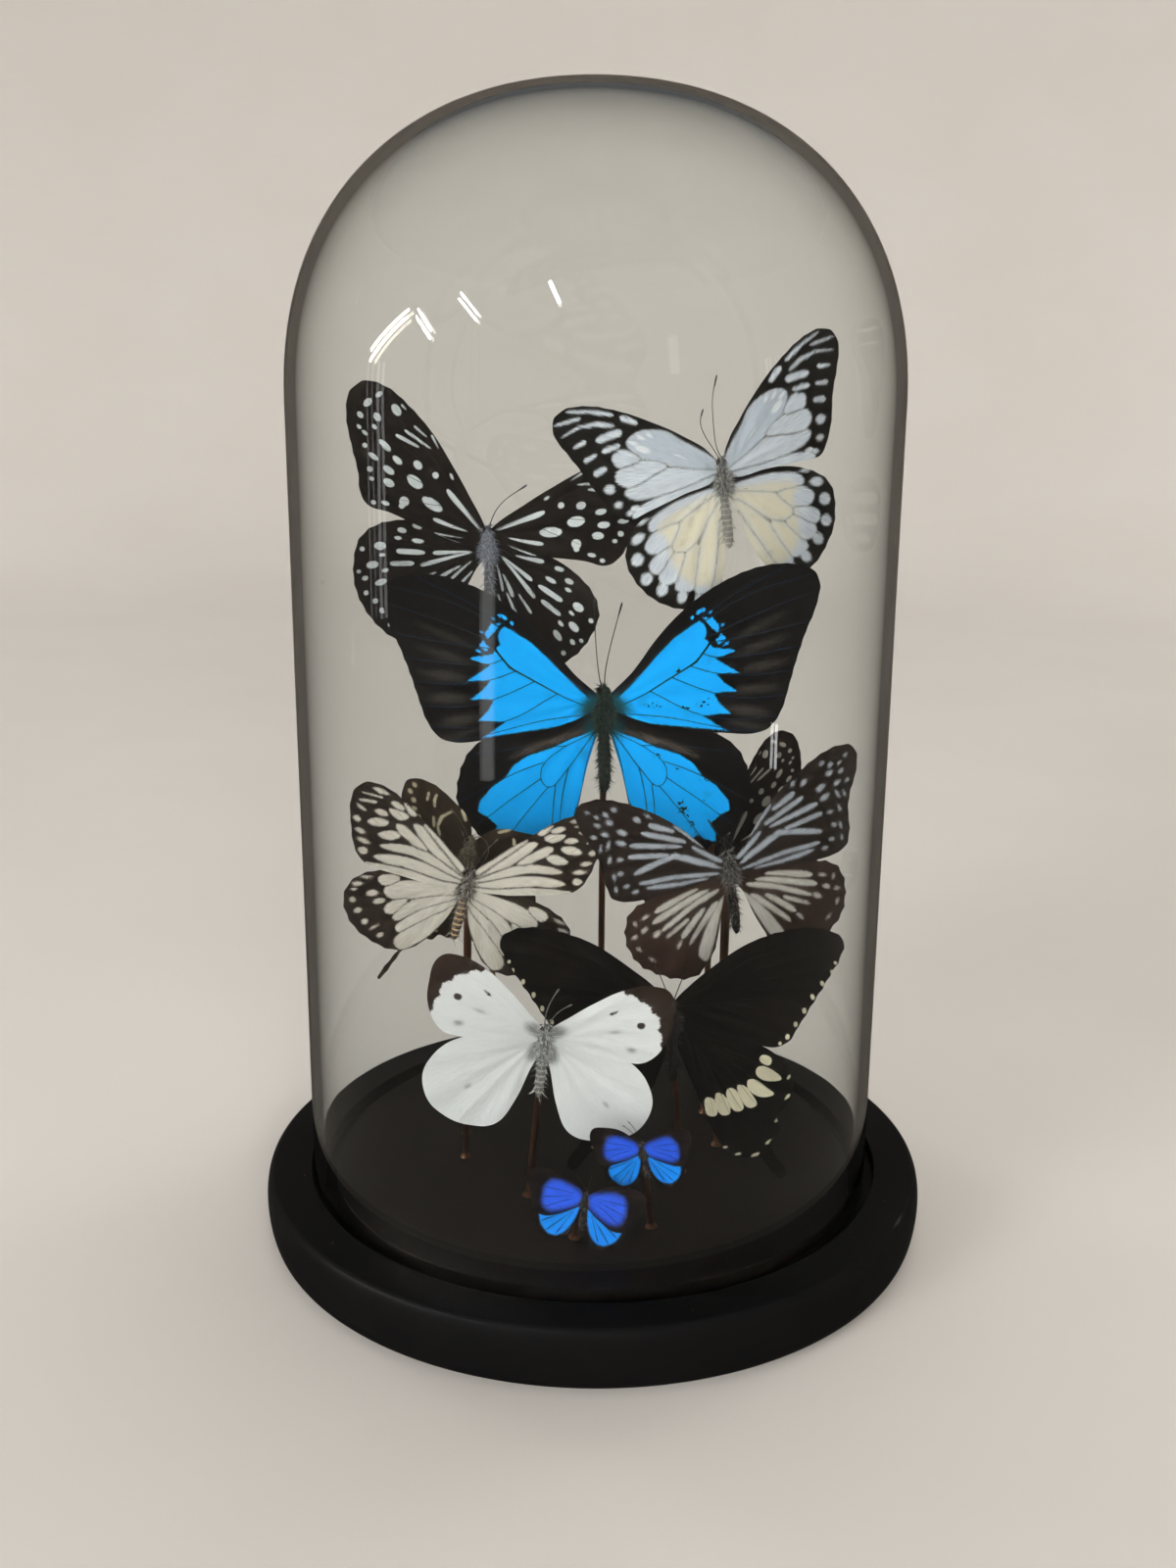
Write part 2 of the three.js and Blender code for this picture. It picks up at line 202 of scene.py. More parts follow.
# Small lamps that are only seen mirrored in the glass: pairs of ceiling tubes, a window and a doorway
CEILING_TUBES = [
    ("left_tube", (-1.53, -0.33, 0.63), 0.50, 0.03, 1.4, "#FFF8E6", 40),
    ("second_tube", (-1.40, -0.71, 0.74), 0.26, 0.022, 0.7, "#FFFFFF", -35),
    ("third_tube", (-1.15, -1.08, 0.95), 0.30, 0.022, 0.8, "#FFFFFF", -35),
]
TUBE_GAP = 0.06
for step in (-TUBE_GAP / 2, TUBE_GAP / 2):
    for name, (x, y, z), width, height, power, tint, turn in CEILING_TUBES:
        softbox(name, (x, y, z + step), (0, 0, 0.3), width, height, power, tint, glint=True, turn=turn)
softbox("front_tube", (-0.42, -1.52, 1.18), (0, 0, 0.3), 0.26, 0.04, 1.0, glint=True, turn=-60)
softbox("window_edge", (-1.245, -0.23, 0.21), (0, -0.02, 0.21), 0.03, 0.40, 0.07, glint=True)
softbox("window_frame", (-1.25, -0.12, 0.21), (0, -0.02, 0.21), 0.015, 0.40, 0.025, glint=True)
softbox("doorway", (-0.36, -0.50, 0.09), (-0.04, -0.06, 0.13), 0.05, 0.14, 0.02, glint=True)
softbox("right_spark", (0.505, -0.23, 0.049), (0.05, -0.06, 0.14), 0.012, 0.026, 0.008, glint=True)


# --- Base -----------------------------------------------------------------------------------------
# One disc of turned wood, sprayed satin black: a flat outer ring, a groove that takes the glass,
# and a raised inner disc in which the wires stand.
BASE_HEIGHT = 18.0
RING_EDGE_RADIUS = 98.2
BASE_RADIUS = 100.4
UNDERSIDE_RADIUS = 97.5
WIDEST_HEIGHT = 11.0
GROOVE_OUTER_RADIUS = 86.8
DISC_RADIUS = 79.4
GROOVE_FLOOR = 14.0
EDGE_ROUND = 0.45


def rounded_profile(corners, steps=4):
    """Takes (radius, height, rounding) corners and eases each one by its rounding."""
    points = []
    for k, (radius, height, rounding) in enumerate(corners):
        corner = np.array([radius, height])
        if not rounding:
            points.append(tuple(corner))
            continue
        before = np.array(corners[k - 1][:2]) - corner
        after = np.array(corners[k + 1][:2]) - corner
        start = corner + before / np.linalg.norm(before) * rounding
        end = corner + after / np.linalg.norm(after) * rounding
        for t in np.linspace(0, 1, steps + 1):
            points.append(tuple((1 - t) ** 2 * start + 2 * t * (1 - t) * corner + t * t * end))
    return points


def part_turn(radius, height, across, up, start, end, steps):
    """Points on part of an ellipse round (radius, height), its angles in degrees."""
    angles = np.radians(np.linspace(start, end, steps + 1))
    return [(radius + across * math.cos(a), height + up * math.sin(a), 0) for a in angles]


base_corners = [
    (0, 0, 0), (60, 0, 0),
    *part_turn(UNDERSIDE_RADIUS, WIDEST_HEIGHT, BASE_RADIUS - UNDERSIDE_RADIUS, WIDEST_HEIGHT, -90, 0, 14),
    *part_turn(RING_EDGE_RADIUS, WIDEST_HEIGHT, BASE_RADIUS - RING_EDGE_RADIUS,
               BASE_HEIGHT - WIDEST_HEIGHT - 0.2, 0, 72, 10)[1:],
    (RING_EDGE_RADIUS, BASE_HEIGHT, EDGE_ROUND),
    (92, BASE_HEIGHT, 0),
    (GROOVE_OUTER_RADIUS, BASE_HEIGHT, EDGE_ROUND),
    (GROOVE_OUTER_RADIUS, GROOVE_FLOOR, 0.3),
    (DISC_RADIUS, GROOVE_FLOOR, 0.3),
    (DISC_RADIUS, BASE_HEIGHT, EDGE_ROUND),
    *[(r, BASE_HEIGHT, 0) for r in (70, 56, 42, 28, 14)],
    (0, BASE_HEIGHT, 0),
]
base_mesh = turned_mesh("turned_base", rounded_profile(base_corners), 256)
base_mesh.set_sharp_from_angle(angle=math.radians(50))

# Satin black paint on turned wood: soft broad highlights, faint tool rings, edges rubbed a little grey
paint, tree, place = new_material("satin_black_paint_on_turned_wood")
grain = add(tree, "TexNoise", {"Vector": place, "Scale": 900.0, "Detail": 4.0})
cloud = add(tree, "TexNoise", {"Vector": place, "Scale": 45.0, "Detail": 5.0})
rings = add(tree, "TexWave", {"Vector": place, "Scale": 260.0, "Distortion": 2.0, "Detail": 2.0},
    wave_type="RINGS", rings_direction="Z")
across = add(tree, "VectorMath", {0: place, 1: (1, 1, 0)}, operation="MULTIPLY")
radius = add(tree, "VectorMath", {0: across}, operation="LENGTH")
on_disc = add(tree, "MapRange", {"Value": radius, "From Min": 0.0800, "From Max": 0.0792})
tone = add(tree, "Mix", {0: cloud, 6: "#090909", 7: "#100F0F"}, data_type="RGBA")
warm = add(tree, "Mix", {0: cloud, 6: "#1B1714", 7: "#27211D"}, data_type="RGBA")
both = add(tree, "Mix", {0: on_disc, 6: tone, 7: warm}, data_type="RGBA")
edges = add(tree, "NewGeometry")
rubbed = add(tree, "MapRange", {"Value": edges.outputs["Pointiness"], "From Min": 0.53,
    "From Max": 0.60, "To Max": 0.35})
worn = add(tree, "Mix", {0: rubbed, 6: both, 7: "#4A4744"}, data_type="RGBA")
gloss = add(tree, "MapRange", {"Value": cloud, "To Min": 0.36, "To Max": 0.48})
relief = add(tree, "Math", {0: grain, 1: rings}, operation="ADD")
bump = add(tree, "Bump", {"Height": relief, "Distance": 0.00002, "Strength": 0.2})
add(tree, "OutputMaterial", {"Surface": add(tree, "BsdfPrincipled",
    {"Base Color": worn, "Roughness": gloss, "Normal": bump, "Specular IOR Level": 0.20})})

# House dust: matt, warm grey, soft-edged flecks
dust, tree, place = new_material("house_dust")
lint = add(tree, "TexNoise", {"Vector": place, "Scale": 3000.0})
tone = add(tree, "Mix", {0: lint, 6: "#6E655C", 7: "#A89E92"}, data_type="RGBA")
add(tree, "OutputMaterial", {"Surface": add(tree, "BsdfPrincipled", {"Base Color": tone, "Roughness": 0.95})})


def shape_tree(name, sockets):
    """A geometry tree with its named inputs; gives the tree, its input links and each input's identifier."""
    tree = bpy.data.node_groups.new(name, "GeometryNodeTree")
    tree.interface.new_socket("Geometry", in_out="OUTPUT", socket_type="NodeSocketGeometry")
    tree.interface.new_socket("Geometry", in_out="INPUT", socket_type="NodeSocketGeometry")
    names = {}
    for label, kind in sockets.items():
        item = tree.interface.new_socket(label, in_out="INPUT", socket_type="NodeSocket" + kind)
        names[label] = item.identifier
    return tree, add(tree, "NodeGroupInput").outputs, names


def end_tree(tree, shapes, material, beside=None):
    """Makes instances real, gives them their material, adds what they stand on, and ends the tree."""
    real = add(tree, "GeometryNodeRealizeInstances", {0: shapes})
    whole = add(tree, "GeometryNodeSetMaterial", {"Geometry": real, "Material": material})
    if beside:
        whole = add(tree, "GeometryNodeJoinGeometry", {0: [whole, beside]})
    add(tree, "NodeGroupOutput", {0: whole})


def made_by(tree, names, piece, values):
    """Runs a tree on a piece and keeps the result as the piece's own plain mesh."""
    modifier = piece.modifiers.new(tree.name, "NODES")
    modifier.node_group = tree
    for label, value in values.items():
        modifier[names[label]] = value
    bpy.context.view_layer.update()
    graph = bpy.context.evaluated_depsgraph_get()
    mesh = bpy.data.meshes.new_from_object(piece.evaluated_get(graph), depsgraph=graph)
    piece.modifiers.remove(modifier)
    piece.data = mesh


def store(mesh, label, values):
    """Keeps one number a point on a mesh, for its material or its tree."""
    mesh.attributes.new(label, "FLOAT", "POINT").data.foreach_set("value", np.asarray(values, np.float32))


def joined(name, pieces):
    """Several meshes as one piece, with all their materials."""
    with bpy.context.temp_override(active_object=pieces[0], selected_editable_objects=pieces):
        bpy.ops.object.join()
    pieces[0].name = name
    return pieces[0]


def finished(piece, slot, *nodes):
    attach(piece, "root")
    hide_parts(*nodes)


dust_tree, given, dust_inputs = shape_tree("dust_flecks", {
    "Flecks per square metre": "Float", "Fleck size": "Float", "Seed": "Int", "Dust": "Material"})
facing = add(dust_tree, "GeometryNodeInputNormal")
upward = add(dust_tree, "SeparateXYZ", {0: facing})
level = add(dust_tree, "FunctionNodeCompare", {0: upward.outputs["Z"], 1: 0.98}, operation="GREATER_THAN")
spread = add(dust_tree, "GeometryNodeDistributePointsOnFaces", {"Mesh": given["Geometry"],
    "Selection": level, "Density": given["Flecks per square metre"], "Seed": given["Seed"]})
fleck = add(dust_tree, "GeometryNodeMeshIcoSphere", {"Radius": given["Fleck size"], "Subdivisions": 1})
sizes = add(dust_tree, "FunctionNodeRandomValue", {0: (0.35, 0.3, 0.15), 1: (1.5, 0.9, 0.4),
    "Seed": 4}, data_type="FLOAT_VECTOR")
turns = add(dust_tree, "FunctionNodeRandomValue", {0: (0, 0, 0), 1: (0, 0, 6.28), "Seed": 5},
    data_type="FLOAT_VECTOR")
flecks = add(dust_tree, "GeometryNodeInstanceOnPoints", {"Points": spread, "Instance": fleck,
    "Scale": sizes, "Rotation": turns})
end_tree(dust_tree, flecks, given["Dust"], given["Geometry"])

base = new_object("turned_base", base_mesh, paint)
made_by(dust_tree, dust_inputs, base, {"Flecks per square metre": 1500.0, "Fleck size": 0.00022,
                                       "Seed": 7, "Dust": dust})
finished(base, "base", "base")


# --- Glass dome -----------------------------------------------------------------------------------
# One bell of blown soda-lime glass, 3 mm thick, with a fire-rounded foot that stands loose in the
# base's groove. Its crown is a little squarer than a half ball.
DOME_RADIUS = 85.0
DOME_WALL = 3.0
DOME_TOP = 327.0
CROWN_HEIGHT = 84.0
CROWN_POWER = 2.25
DOME_SHIFT_X = -1.2
DOME_FOOT = 14.05
CROWN_STEPS = 56


def crown(radius, height):
    angles = np.linspace(0, math.pi / 2, CROWN_STEPS + 1)
    power = 2 / CROWN_POWER
    return [(0.0 if k == CROWN_STEPS else radius * math.cos(a) ** power,
             DOME_TOP - CROWN_HEIGHT + height * math.sin(a) ** power) for k, a in enumerate(angles)]


shoulder = DOME_TOP - CROWN_HEIGHT
lip = DOME_WALL / 2
wall_heights = np.linspace(DOME_FOOT + lip, shoulder, 30)[1:-1]
dome_profile = [
    *crown(DOME_RADIUS - DOME_WALL, CROWN_HEIGHT - DOME_WALL)[::-1],
    *[(DOME_RADIUS - DOME_WALL, z) for z in wall_heights[::-1]],
    *[(DOME_RADIUS - lip - lip * math.cos(a), DOME_FOOT + lip - lip * math.sin(a))
      for a in np.linspace(0, math.pi, 11)],
    *[(DOME_RADIUS, z) for z in wall_heights],
    *crown(DOME_RADIUS, CROWN_HEIGHT),
]
dome_mesh = turned_mesh("blown_dome", dome_profile, 192)
points = np.empty(len(dome_mesh.vertices) * 3, np.float32)
dome_mesh.vertices.foreach_get("co", points)
points = points.reshape(-1, 3)
around = np.arctan2(points[:, 1], points[:, 0])
swell = 0.05 * np.sin(3 * around + 0.02 * points[:, 2] / MM) + 0.03 * np.sin(7 * around + points[:,
    2] / MM / 17)
points[:, :2] *= (1 + swell / DOME_RADIUS)[:, None]
points[:, 0] += DOME_SHIFT_X * MM
dome_mesh.vertices.foreach_set("co", points.ravel())

# Blown soda-lime glass: clear, almost colourless, with a slow ripple left by the mould and the breath
glass, tree, place = new_material("blown_soda_lime_glass")
stretch = add(tree, "Mapping", {"Vector": place, "Scale": (1, 1, 0.35)})
ripple = add(tree, "TexNoise", {"Vector": stretch, "Scale": 38.0, "Detail": 1.0})
bump = add(tree, "Bump", {"Height": ripple, "Distance": 0.0006, "Strength": 0.08})
add(tree, "OutputMaterial", {"Surface": add(tree, "BsdfPrincipled",
    {"Base Color": "#FBFDFC", "Roughness": 0.0, "IOR": 1.5, "Transmission Weight": 1.0, "Normal": bump})})
dome = new_object("blown_dome", dome_mesh, glass)
finished(dome, "dome_glass", "glass_dome")


# --- Wires ----------------------------------------------------------------------------------------
# Each specimen sits on a stiff copper-coated wire, 2 mm thick, pushed into the disc. A small
# flared collar is formed at its foot, where it meets the paint.
WIRE_RADIUS = 1.0
COLLAR_RADIUS = 1.75
COLLAR_HEIGHT = 1.3
BODY_SIZES = {
    "stout": dict(thorax=2.9, head=9.0, tail=25.0, abdomen=2.1),
    "medium": dict(thorax=2.3, head=7.0, tail=20.0, abdomen=1.6),
    "slim": dict(thorax=2.1, head=6.2, tail=17.0, abdomen=1.5),
    "small": dict(thorax=1.1, head=3.4, tail=8.0, abdomen=0.8),
}

wire_tree, given, wire_inputs = shape_tree("wire_with_flared_collar", {
    "Foot": "Vector", "Top": "Vector", "Wire radius": "Float", "Collar radius": "Float",
    "Collar share": "Float", "Metal": "Material"})
axis = add(wire_tree, "GeometryNodeCurvePrimitiveLine", {"Start": given["Foot"], "End": given["Top"]})
fine = add(wire_tree, "GeometryNodeResampleCurve", {"Curve": axis, "Count": 160})
along = add(wire_tree, "GeometryNodeSplineParameter")
flare = add(wire_tree, "MapRange", {"Value": along, "From Max": given["Collar share"],
    "To Min": given["Collar radius"], "To Max": given["Wire radius"]}, interpolation_type="SMOOTHERSTEP")
round_section = add(wire_tree, "GeometryNodeCurvePrimitiveCircle", {"Resolution": 20, "Radius": 1.0})
tube = add(wire_tree, "GeometryNodeCurveToMesh", {"Curve": fine, "Profile Curve": round_section,
    "Scale": flare, "Fill Caps": True})
end_tree(wire_tree, tube, given["Metal"])

# Copper-coated steel wire: brownish, brighter where it was drawn, dulled by handling
copper, tree, place = new_material("drawn_copper_coated_wire")
stretch = add(tree, "Mapping", {"Vector": place, "Scale": (1, 1, 0.06)})
drawn = add(tree, "TexNoise", {"Vector": stretch, "Scale": 2600.0, "Detail": 3.0})
stain = add(tree, "TexNoise", {"Vector": place, "Scale": 180.0, "Detail": 4.0})
tone = add(tree, "Mix", {0: stain, 6: "#8A5A46", 7: "#B98768"}, data_type="RGBA")
gloss = add(tree, "MapRange", {"Value": drawn, "To Min": 0.28, "To Max": 0.5})
bump = add(tree, "Bump", {"Height": drawn, "Distance": 0.00002, "Strength": 0.5})
add(tree, "OutputMaterial", {"Surface": add(tree, "BsdfPrincipled",
    {"Base Color": tone, "Metallic": 1.0, "Roughness": gloss, "Normal": bump})})


def stand_on_wire(name, body, at, foot):
    """Runs a wire from the disc to the back of the thorax, straight up unless a foot is given."""
    behind = BODY_SIZES[body]["thorax"] + WIRE_RADIUS + 0.1
    x, y, z = at
    foot_x, foot_y = foot or (x, y + behind)
    slope = math.hypot(x - foot_x, y + behind - foot_y) / (z - BASE_HEIGHT)
    low = Vector((foot_x, foot_y, BASE_HEIGHT + 0.05 + COLLAR_RADIUS * slope)) * MM
    top = Vector((x, y + behind, z)) * MM
    wire = new_object("wire_" + name, bpy.data.meshes.new("wire_" + name), copper)
    made_by(wire_tree, wire_inputs, wire, {
        "Foot": low, "Top": top, "Wire radius": WIRE_RADIUS * MM, "Collar radius": COLLAR_RADIUS * MM,
        "Collar share": COLLAR_HEIGHT * MM / (top - low).length, "Metal": copper})
    wire.data.shade_smooth()
    wire.data.set_sharp_from_angle(angle=math.radians(50))
    finished(wire, "rod", name + "_rod")


# --- Butterflies: how a set specimen is made ------------------------------------------------------
# Each was relaxed, spread flat on a board and dried. A wing is a thin membrane over a fan of hollow
# veins and is covered in overlapping scales, which carry the colour. Sizes are in mm in the
# wing's own plane: x outwards from the hinge, y towards the head.
SHEET_THICKNESS = 0.16
SHEET_SPACING = 0.4
CAMBER = 0.0004
PLEAT_DEPTH = 0.22
PLEATS_PER_RADIAN = 19
PLEATS_FULL_AT = 14
WAVE_DEPTH = 0.12
FURROW_DEPTH = 0.10
FURROW_WIDTH = 0.8
GRAIN_PER_RADIAN = 40
WING_OFFSET = 0.45
HINGE_PULL = 2.2
HINGE_REACH = 9.0
PATTERN_STEP = 0.8
SCALLOP_PITCH = 4.6
VEIN_STEP = 1.2
VEIN_LINE_HALF = 0.17
VEIN_END_SHARE = 0.55
NO_MARK = -50.0
RING_PITCH = 1.7
RING_DEPTH = 0.07


def smooth_loop(knots, step):
    """A closed rounded curve through the knots, with points at even steps."""
    knots = np.array(knots, float)
    dense = []
    for k in range(len(knots)):
        p0, p1, p2, p3 = (knots[(k + j - 1) % len(knots)] for j in range(4))
        d0, d1, d2 = (math.sqrt(max(np.linalg.norm(b - a), 1e-6)) for a, b in ((p0, p1), (p1, p2), (p2, p3)))
        m1 = ((p1 - p0) / d0 - (p2 - p0) / (d0 + d1) + (p2 - p1) / d1) * d1
        m2 = ((p2 - p1) / d1 - (p3 - p1) / (d1 + d2) + (p3 - p2) / d2) * d1
        for t in np.arange(16) / 16:
            dense.append((2 * t**3 - 3 * t**2 + 1) * p1 + (t**3 - 2 * t**2 + t) * m1
                         + (3 * t**2 - 2 * t**3) * p2 + (t**3 - t**2) * m2)
    return evenly(np.array(dense + dense[:1]), step)[:-1]


def evenly(line, step):
    """The same line with points at even steps."""
    lengths = np.concatenate([[0], np.cumsum(np.linalg.norm(np.diff(line, axis=0), axis=1))])
    marks = np.linspace(0, lengths[-1], max(3, round(lengths[-1] / step)) + 1)
    return np.stack([np.interp(marks, lengths, line[:, k]) for k in range(line.shape[1])], 1)


def inside(points, loop):
    x, y = points.T
    within = np.zeros(len(points), bool)
    for (ax, ay), (bx, by) in zip(loop, np.roll(loop, -1, 0)):
        if ay != by:
            within ^= ((ay > y) != (by > y)) & (x < (bx - ax) * (y - ay) / (by - ay) + ax)
    return within


def line_distance(points, line):
    """How far each point is from a line, and the share of the line at the nearest place."""
    best, share = np.full(len(points), 1e3), np.zeros(len(points))
    for k, (a, b) in enumerate(zip(line[:-1], line[1:])):
        run = b - a
        t = np.clip((points - a) @ run / max(run @ run, 1e-9), 0, 1)
        away = np.linalg.norm(points - a - t[:, None] * run, axis=1)
        closer = away < best
        best[closer] = away[closer]
        share[closer] = ((k + t) / (len(line) - 1))[closer]
    return best, share


def outline_depth(points, outline):
    away, _ = line_distance(points, np.vstack([outline, outline[:1]]))
    return np.where(inside(points, outline), away, -away)


def marks(points, spots=(), streaks=(), patches=(), blocks=(), cells=(), grow=0.0, vein=0.15):
    """How deep each point lies inside the nearest of these marks, in mm; outside it is negative.

    spots: (x, y, half length, half width), the long way pointing at the hinge.
    streaks: (half width at the start, half width at the end, x, y, x, y, ...).
    patches: knots of a rounded closed outline. blocks: the same with sharp corners.
    cells: patches side by side, each spread by grow, with a line of half width vein left between them.
    """
    depth = np.full(len(points), NO_MARK)
    for x, y, long, wide in spots:
        toward = np.array([x, y]) / math.hypot(x, y)
        local = (points - (x, y)) @ np.array([[toward[0], -toward[1]], [toward[1], toward[0]]])
        ring = np.hypot(local[:, 0] / long, local[:, 1] / wide)
        depth = np.maximum(depth, (1 - ring) * min(long, wide))
    for start, end, *line in streaks:
        away, share = line_distance(points, np.array(line, float).reshape(-1, 2))
        taper = np.sqrt(1 - np.abs(2 * share - 1) ** 5)
        depth = np.maximum(depth, (start + (end - start) * share) * taper - away)
    for outline in [*(smooth_loop(p, PATTERN_STEP) for p in patches), *(np.array(b, float) for b in blocks)]:
        depth = np.maximum(depth, outline_depth(points, outline))
    if cells:
        order = np.sort([outline_depth(points, smooth_loop(c, PATTERN_STEP)) for c in cells], 0)
        depth = np.maximum(depth, np.minimum(order[-1] + grow, (order[-1] - order[-2]) / 2 - vein))
    return depth


def venation(cell, ends):
    """Veins of one wing: the cell's two sides, and a vein from the cell to each end on the margin."""
    cell = np.array(cell, float)
    upper, tip, lower = cell
    rim = evenly(np.array([upper * 0.8, upper, tip, lower, lower * 0.66, lower * 0.3]), 0.5)
    lines = [np.array([(0.4, 0.2), upper * 0.55, upper, tip]),
             np.array([(0.4, -0.3), lower * 0.5, lower, tip])]
    for k, end in enumerate(np.array(ends, float)):
        start = rim[round((len(rim) - 1) * k / max(len(ends) - 1, 1))]
        middle = start + (end - start) * 0.5 + start * 0.05
        t = np.linspace(0, 1, 9)[:, None]
        lines.append((1 - t) ** 2 * start + 2 * t * (1 - t) * middle + t * t * end)
    return [evenly(smooth_line(line), VEIN_STEP) for line in lines]


def smooth_line(line):
    """Rounds an open line's corners by cutting them twice."""
    for _ in range(2):
        cut = [line[0]]
        for a, b in zip(line[:-1], line[1:]):
            cut += [a * 0.75 + b * 0.25, a * 0.25 + b * 0.75]
        line = np.array([*cut, line[-1]])
    return line


def drawn_in(points, pull):
    """Stretches the wing's root inwards, so that it meets the thorax and lies along the abdomen."""
    near = np.clip(1 - points[:, 0] / HINGE_REACH, 0, 1.3)
    return np.stack([points[:, 0] - pull * near ** 1.5, points[:, 1]], 1)


def draw_wing(outline, layers, cell=None, ends=None, veins=None, scallop=0.0, spacing=SHEET_SPACING,
              pull=HINGE_PULL):
    """One wing's flat sheet of triangles, with how deep each point lies in each layer of its pattern.

    A layer may lie within another one that comes before it, and may sink, so that only its ragged specks
    are left. Veins are given as (x, y, x, y, ...), or worked out from the cell and the vein ends.
    """
    edge = smooth_loop(outline, spacing)
    if scallop:
        run = np.arange(len(edge)) * spacing
        normal = np.roll(edge, -1, 0) - np.roll(edge, 1, 0)
        normal = np.stack([normal[:, 1], -normal[:, 0]], 1) / np.linalg.norm(normal, axis=1)[:, None]
        outer = np.clip((np.hypot(*edge.T) / np.hypot(*edge.T).max() - 0.55) * 5, 0, 1)
        edge += normal * (scallop * outer * (np.abs(np.sin(run / SCALLOP_PITCH * math.pi)) - 0.5))[:, None]
    low, high = edge.min(0), edge.max(0)
    rows = np.arange(low[1], high[1], spacing * 0.866)
    grid = np.array([(x + spacing / 2 * (k % 2), y) for k, y in enumerate(rows)
                     for x in np.arange(low[0], high[0], spacing)])
    grid = grid[inside(grid, edge)]
    closed = np.vstack([edge, edge[:1]])
    grid = grid[line_distance(grid, closed)[0] > spacing * 0.5]
    flat = [Vector(p) for p in np.vstack([edge, grid])]
    found = delaunay_2d_cdt(flat, [], [list(range(len(edge)))], 1, 1e-5)
    points = np.array([tuple(p) for p in found[0]])
    triangles = np.array([f for f in found[2] if len(f) == 3])
    veins = ([evenly(smooth_line(np.array(line, float).reshape(-1, 2)), VEIN_STEP) for line in veins] if veins
             else venation(cell, ends))
    near_vein = np.min([line_distance(points, line)[0] for line in veins], 0)
    attributes = {}
    for name, shapes in layers.items():
        host, sink = shapes.get("within"), shapes.get("sink", 0.0)
        depth = marks(points, **{k: v for k, v in shapes.items() if k not in ("within", "sink")}) - sink
        attributes[name] = np.minimum(depth, attributes[host]) if host else depth
    attributes["vein"] = near_vein
    attributes["vein_line"] = VEIN_LINE_HALF - near_vein
    reach = np.hypot(*points.T)
    angle = np.arctan2(points[:, 1], points[:, 0])
    grain = np.stack([angle * GRAIN_PER_RADIAN, reach, 0 * reach], 1)
    return dict(points=drawn_in(points, pull), triangles=triangles, grain=grain, attributes=attributes,
                veins=[drawn_in(line, pull) for line in veins])


def sheet_relief(points, near_vein):
    """How far the sheet lies behind its flat plane: a slight cupping, pleats and furrows at the veins."""
    reach, angle = np.hypot(*points.T), np.arctan2(points[:, 1], points[:, 0])
    pleat = PLEAT_DEPTH * np.sin(angle * PLEATS_PER_RADIAN) * np.clip(reach / PLEATS_FULL_AT, 0, 1)
    wave = WAVE_DEPTH * np.sin(points[:, 0] * 0.31 + 1.7) * np.sin(points[:, 1] * 0.37 + 0.6)
    furrow = FURROW_DEPTH * np.exp(-((near_vein / FURROW_WIDTH) ** 2))
    return -CAMBER * points[:, 0] ** 2 + pleat + wave - furrow


# Tapered round strands along drawn lines: wing veins, antennae
strand_tree, given, strand_inputs = shape_tree("tapered_strands", {"Sides": "Int", "Surface": "Material"})
lines = add(strand_tree, "GeometryNodeMeshToCurve", {0: given["Geometry"]})
stored = add(strand_tree, "GeometryNodeInputNamedAttribute", {0: "thickness"}, data_type="FLOAT")
round_section = add(strand_tree, "GeometryNodeCurvePrimitiveCircle",
    {"Resolution": given["Sides"], "Radius": 1.0})
tube = add(strand_tree, "GeometryNodeCurveToMesh", {"Curve": lines, "Profile Curve": round_section,
    "Scale": stored, "Fill Caps": True})
end_tree(strand_tree, tube, given["Surface"])


def strands(name, lines, radii, sides, material):
    """Round strands through lines of points in metres, each point with its radius in metres."""
    points = np.vstack(lines)
    ends = np.cumsum([len(line) for line in lines])
    edges = [(k, k + 1) for k in range(len(points) - 1) if k + 1 not in ends]
    mesh = bpy.data.meshes.new(name)
    mesh.from_pydata(points.tolist(), edges, [])
    store(mesh, "thickness", np.concatenate(radii))
    piece = new_object(name, mesh, material)
    made_by(strand_tree, strand_inputs, piece, {"Sides": sides, "Surface": material})
    piece.data.shade_smooth()
    return piece


def placed(local, matrix):
    """Points in mm, moved by a matrix in mm, as metres."""
    return (local @ np.array(matrix)[:3, :3].T + np.array(matrix)[:3, 3]) * MM


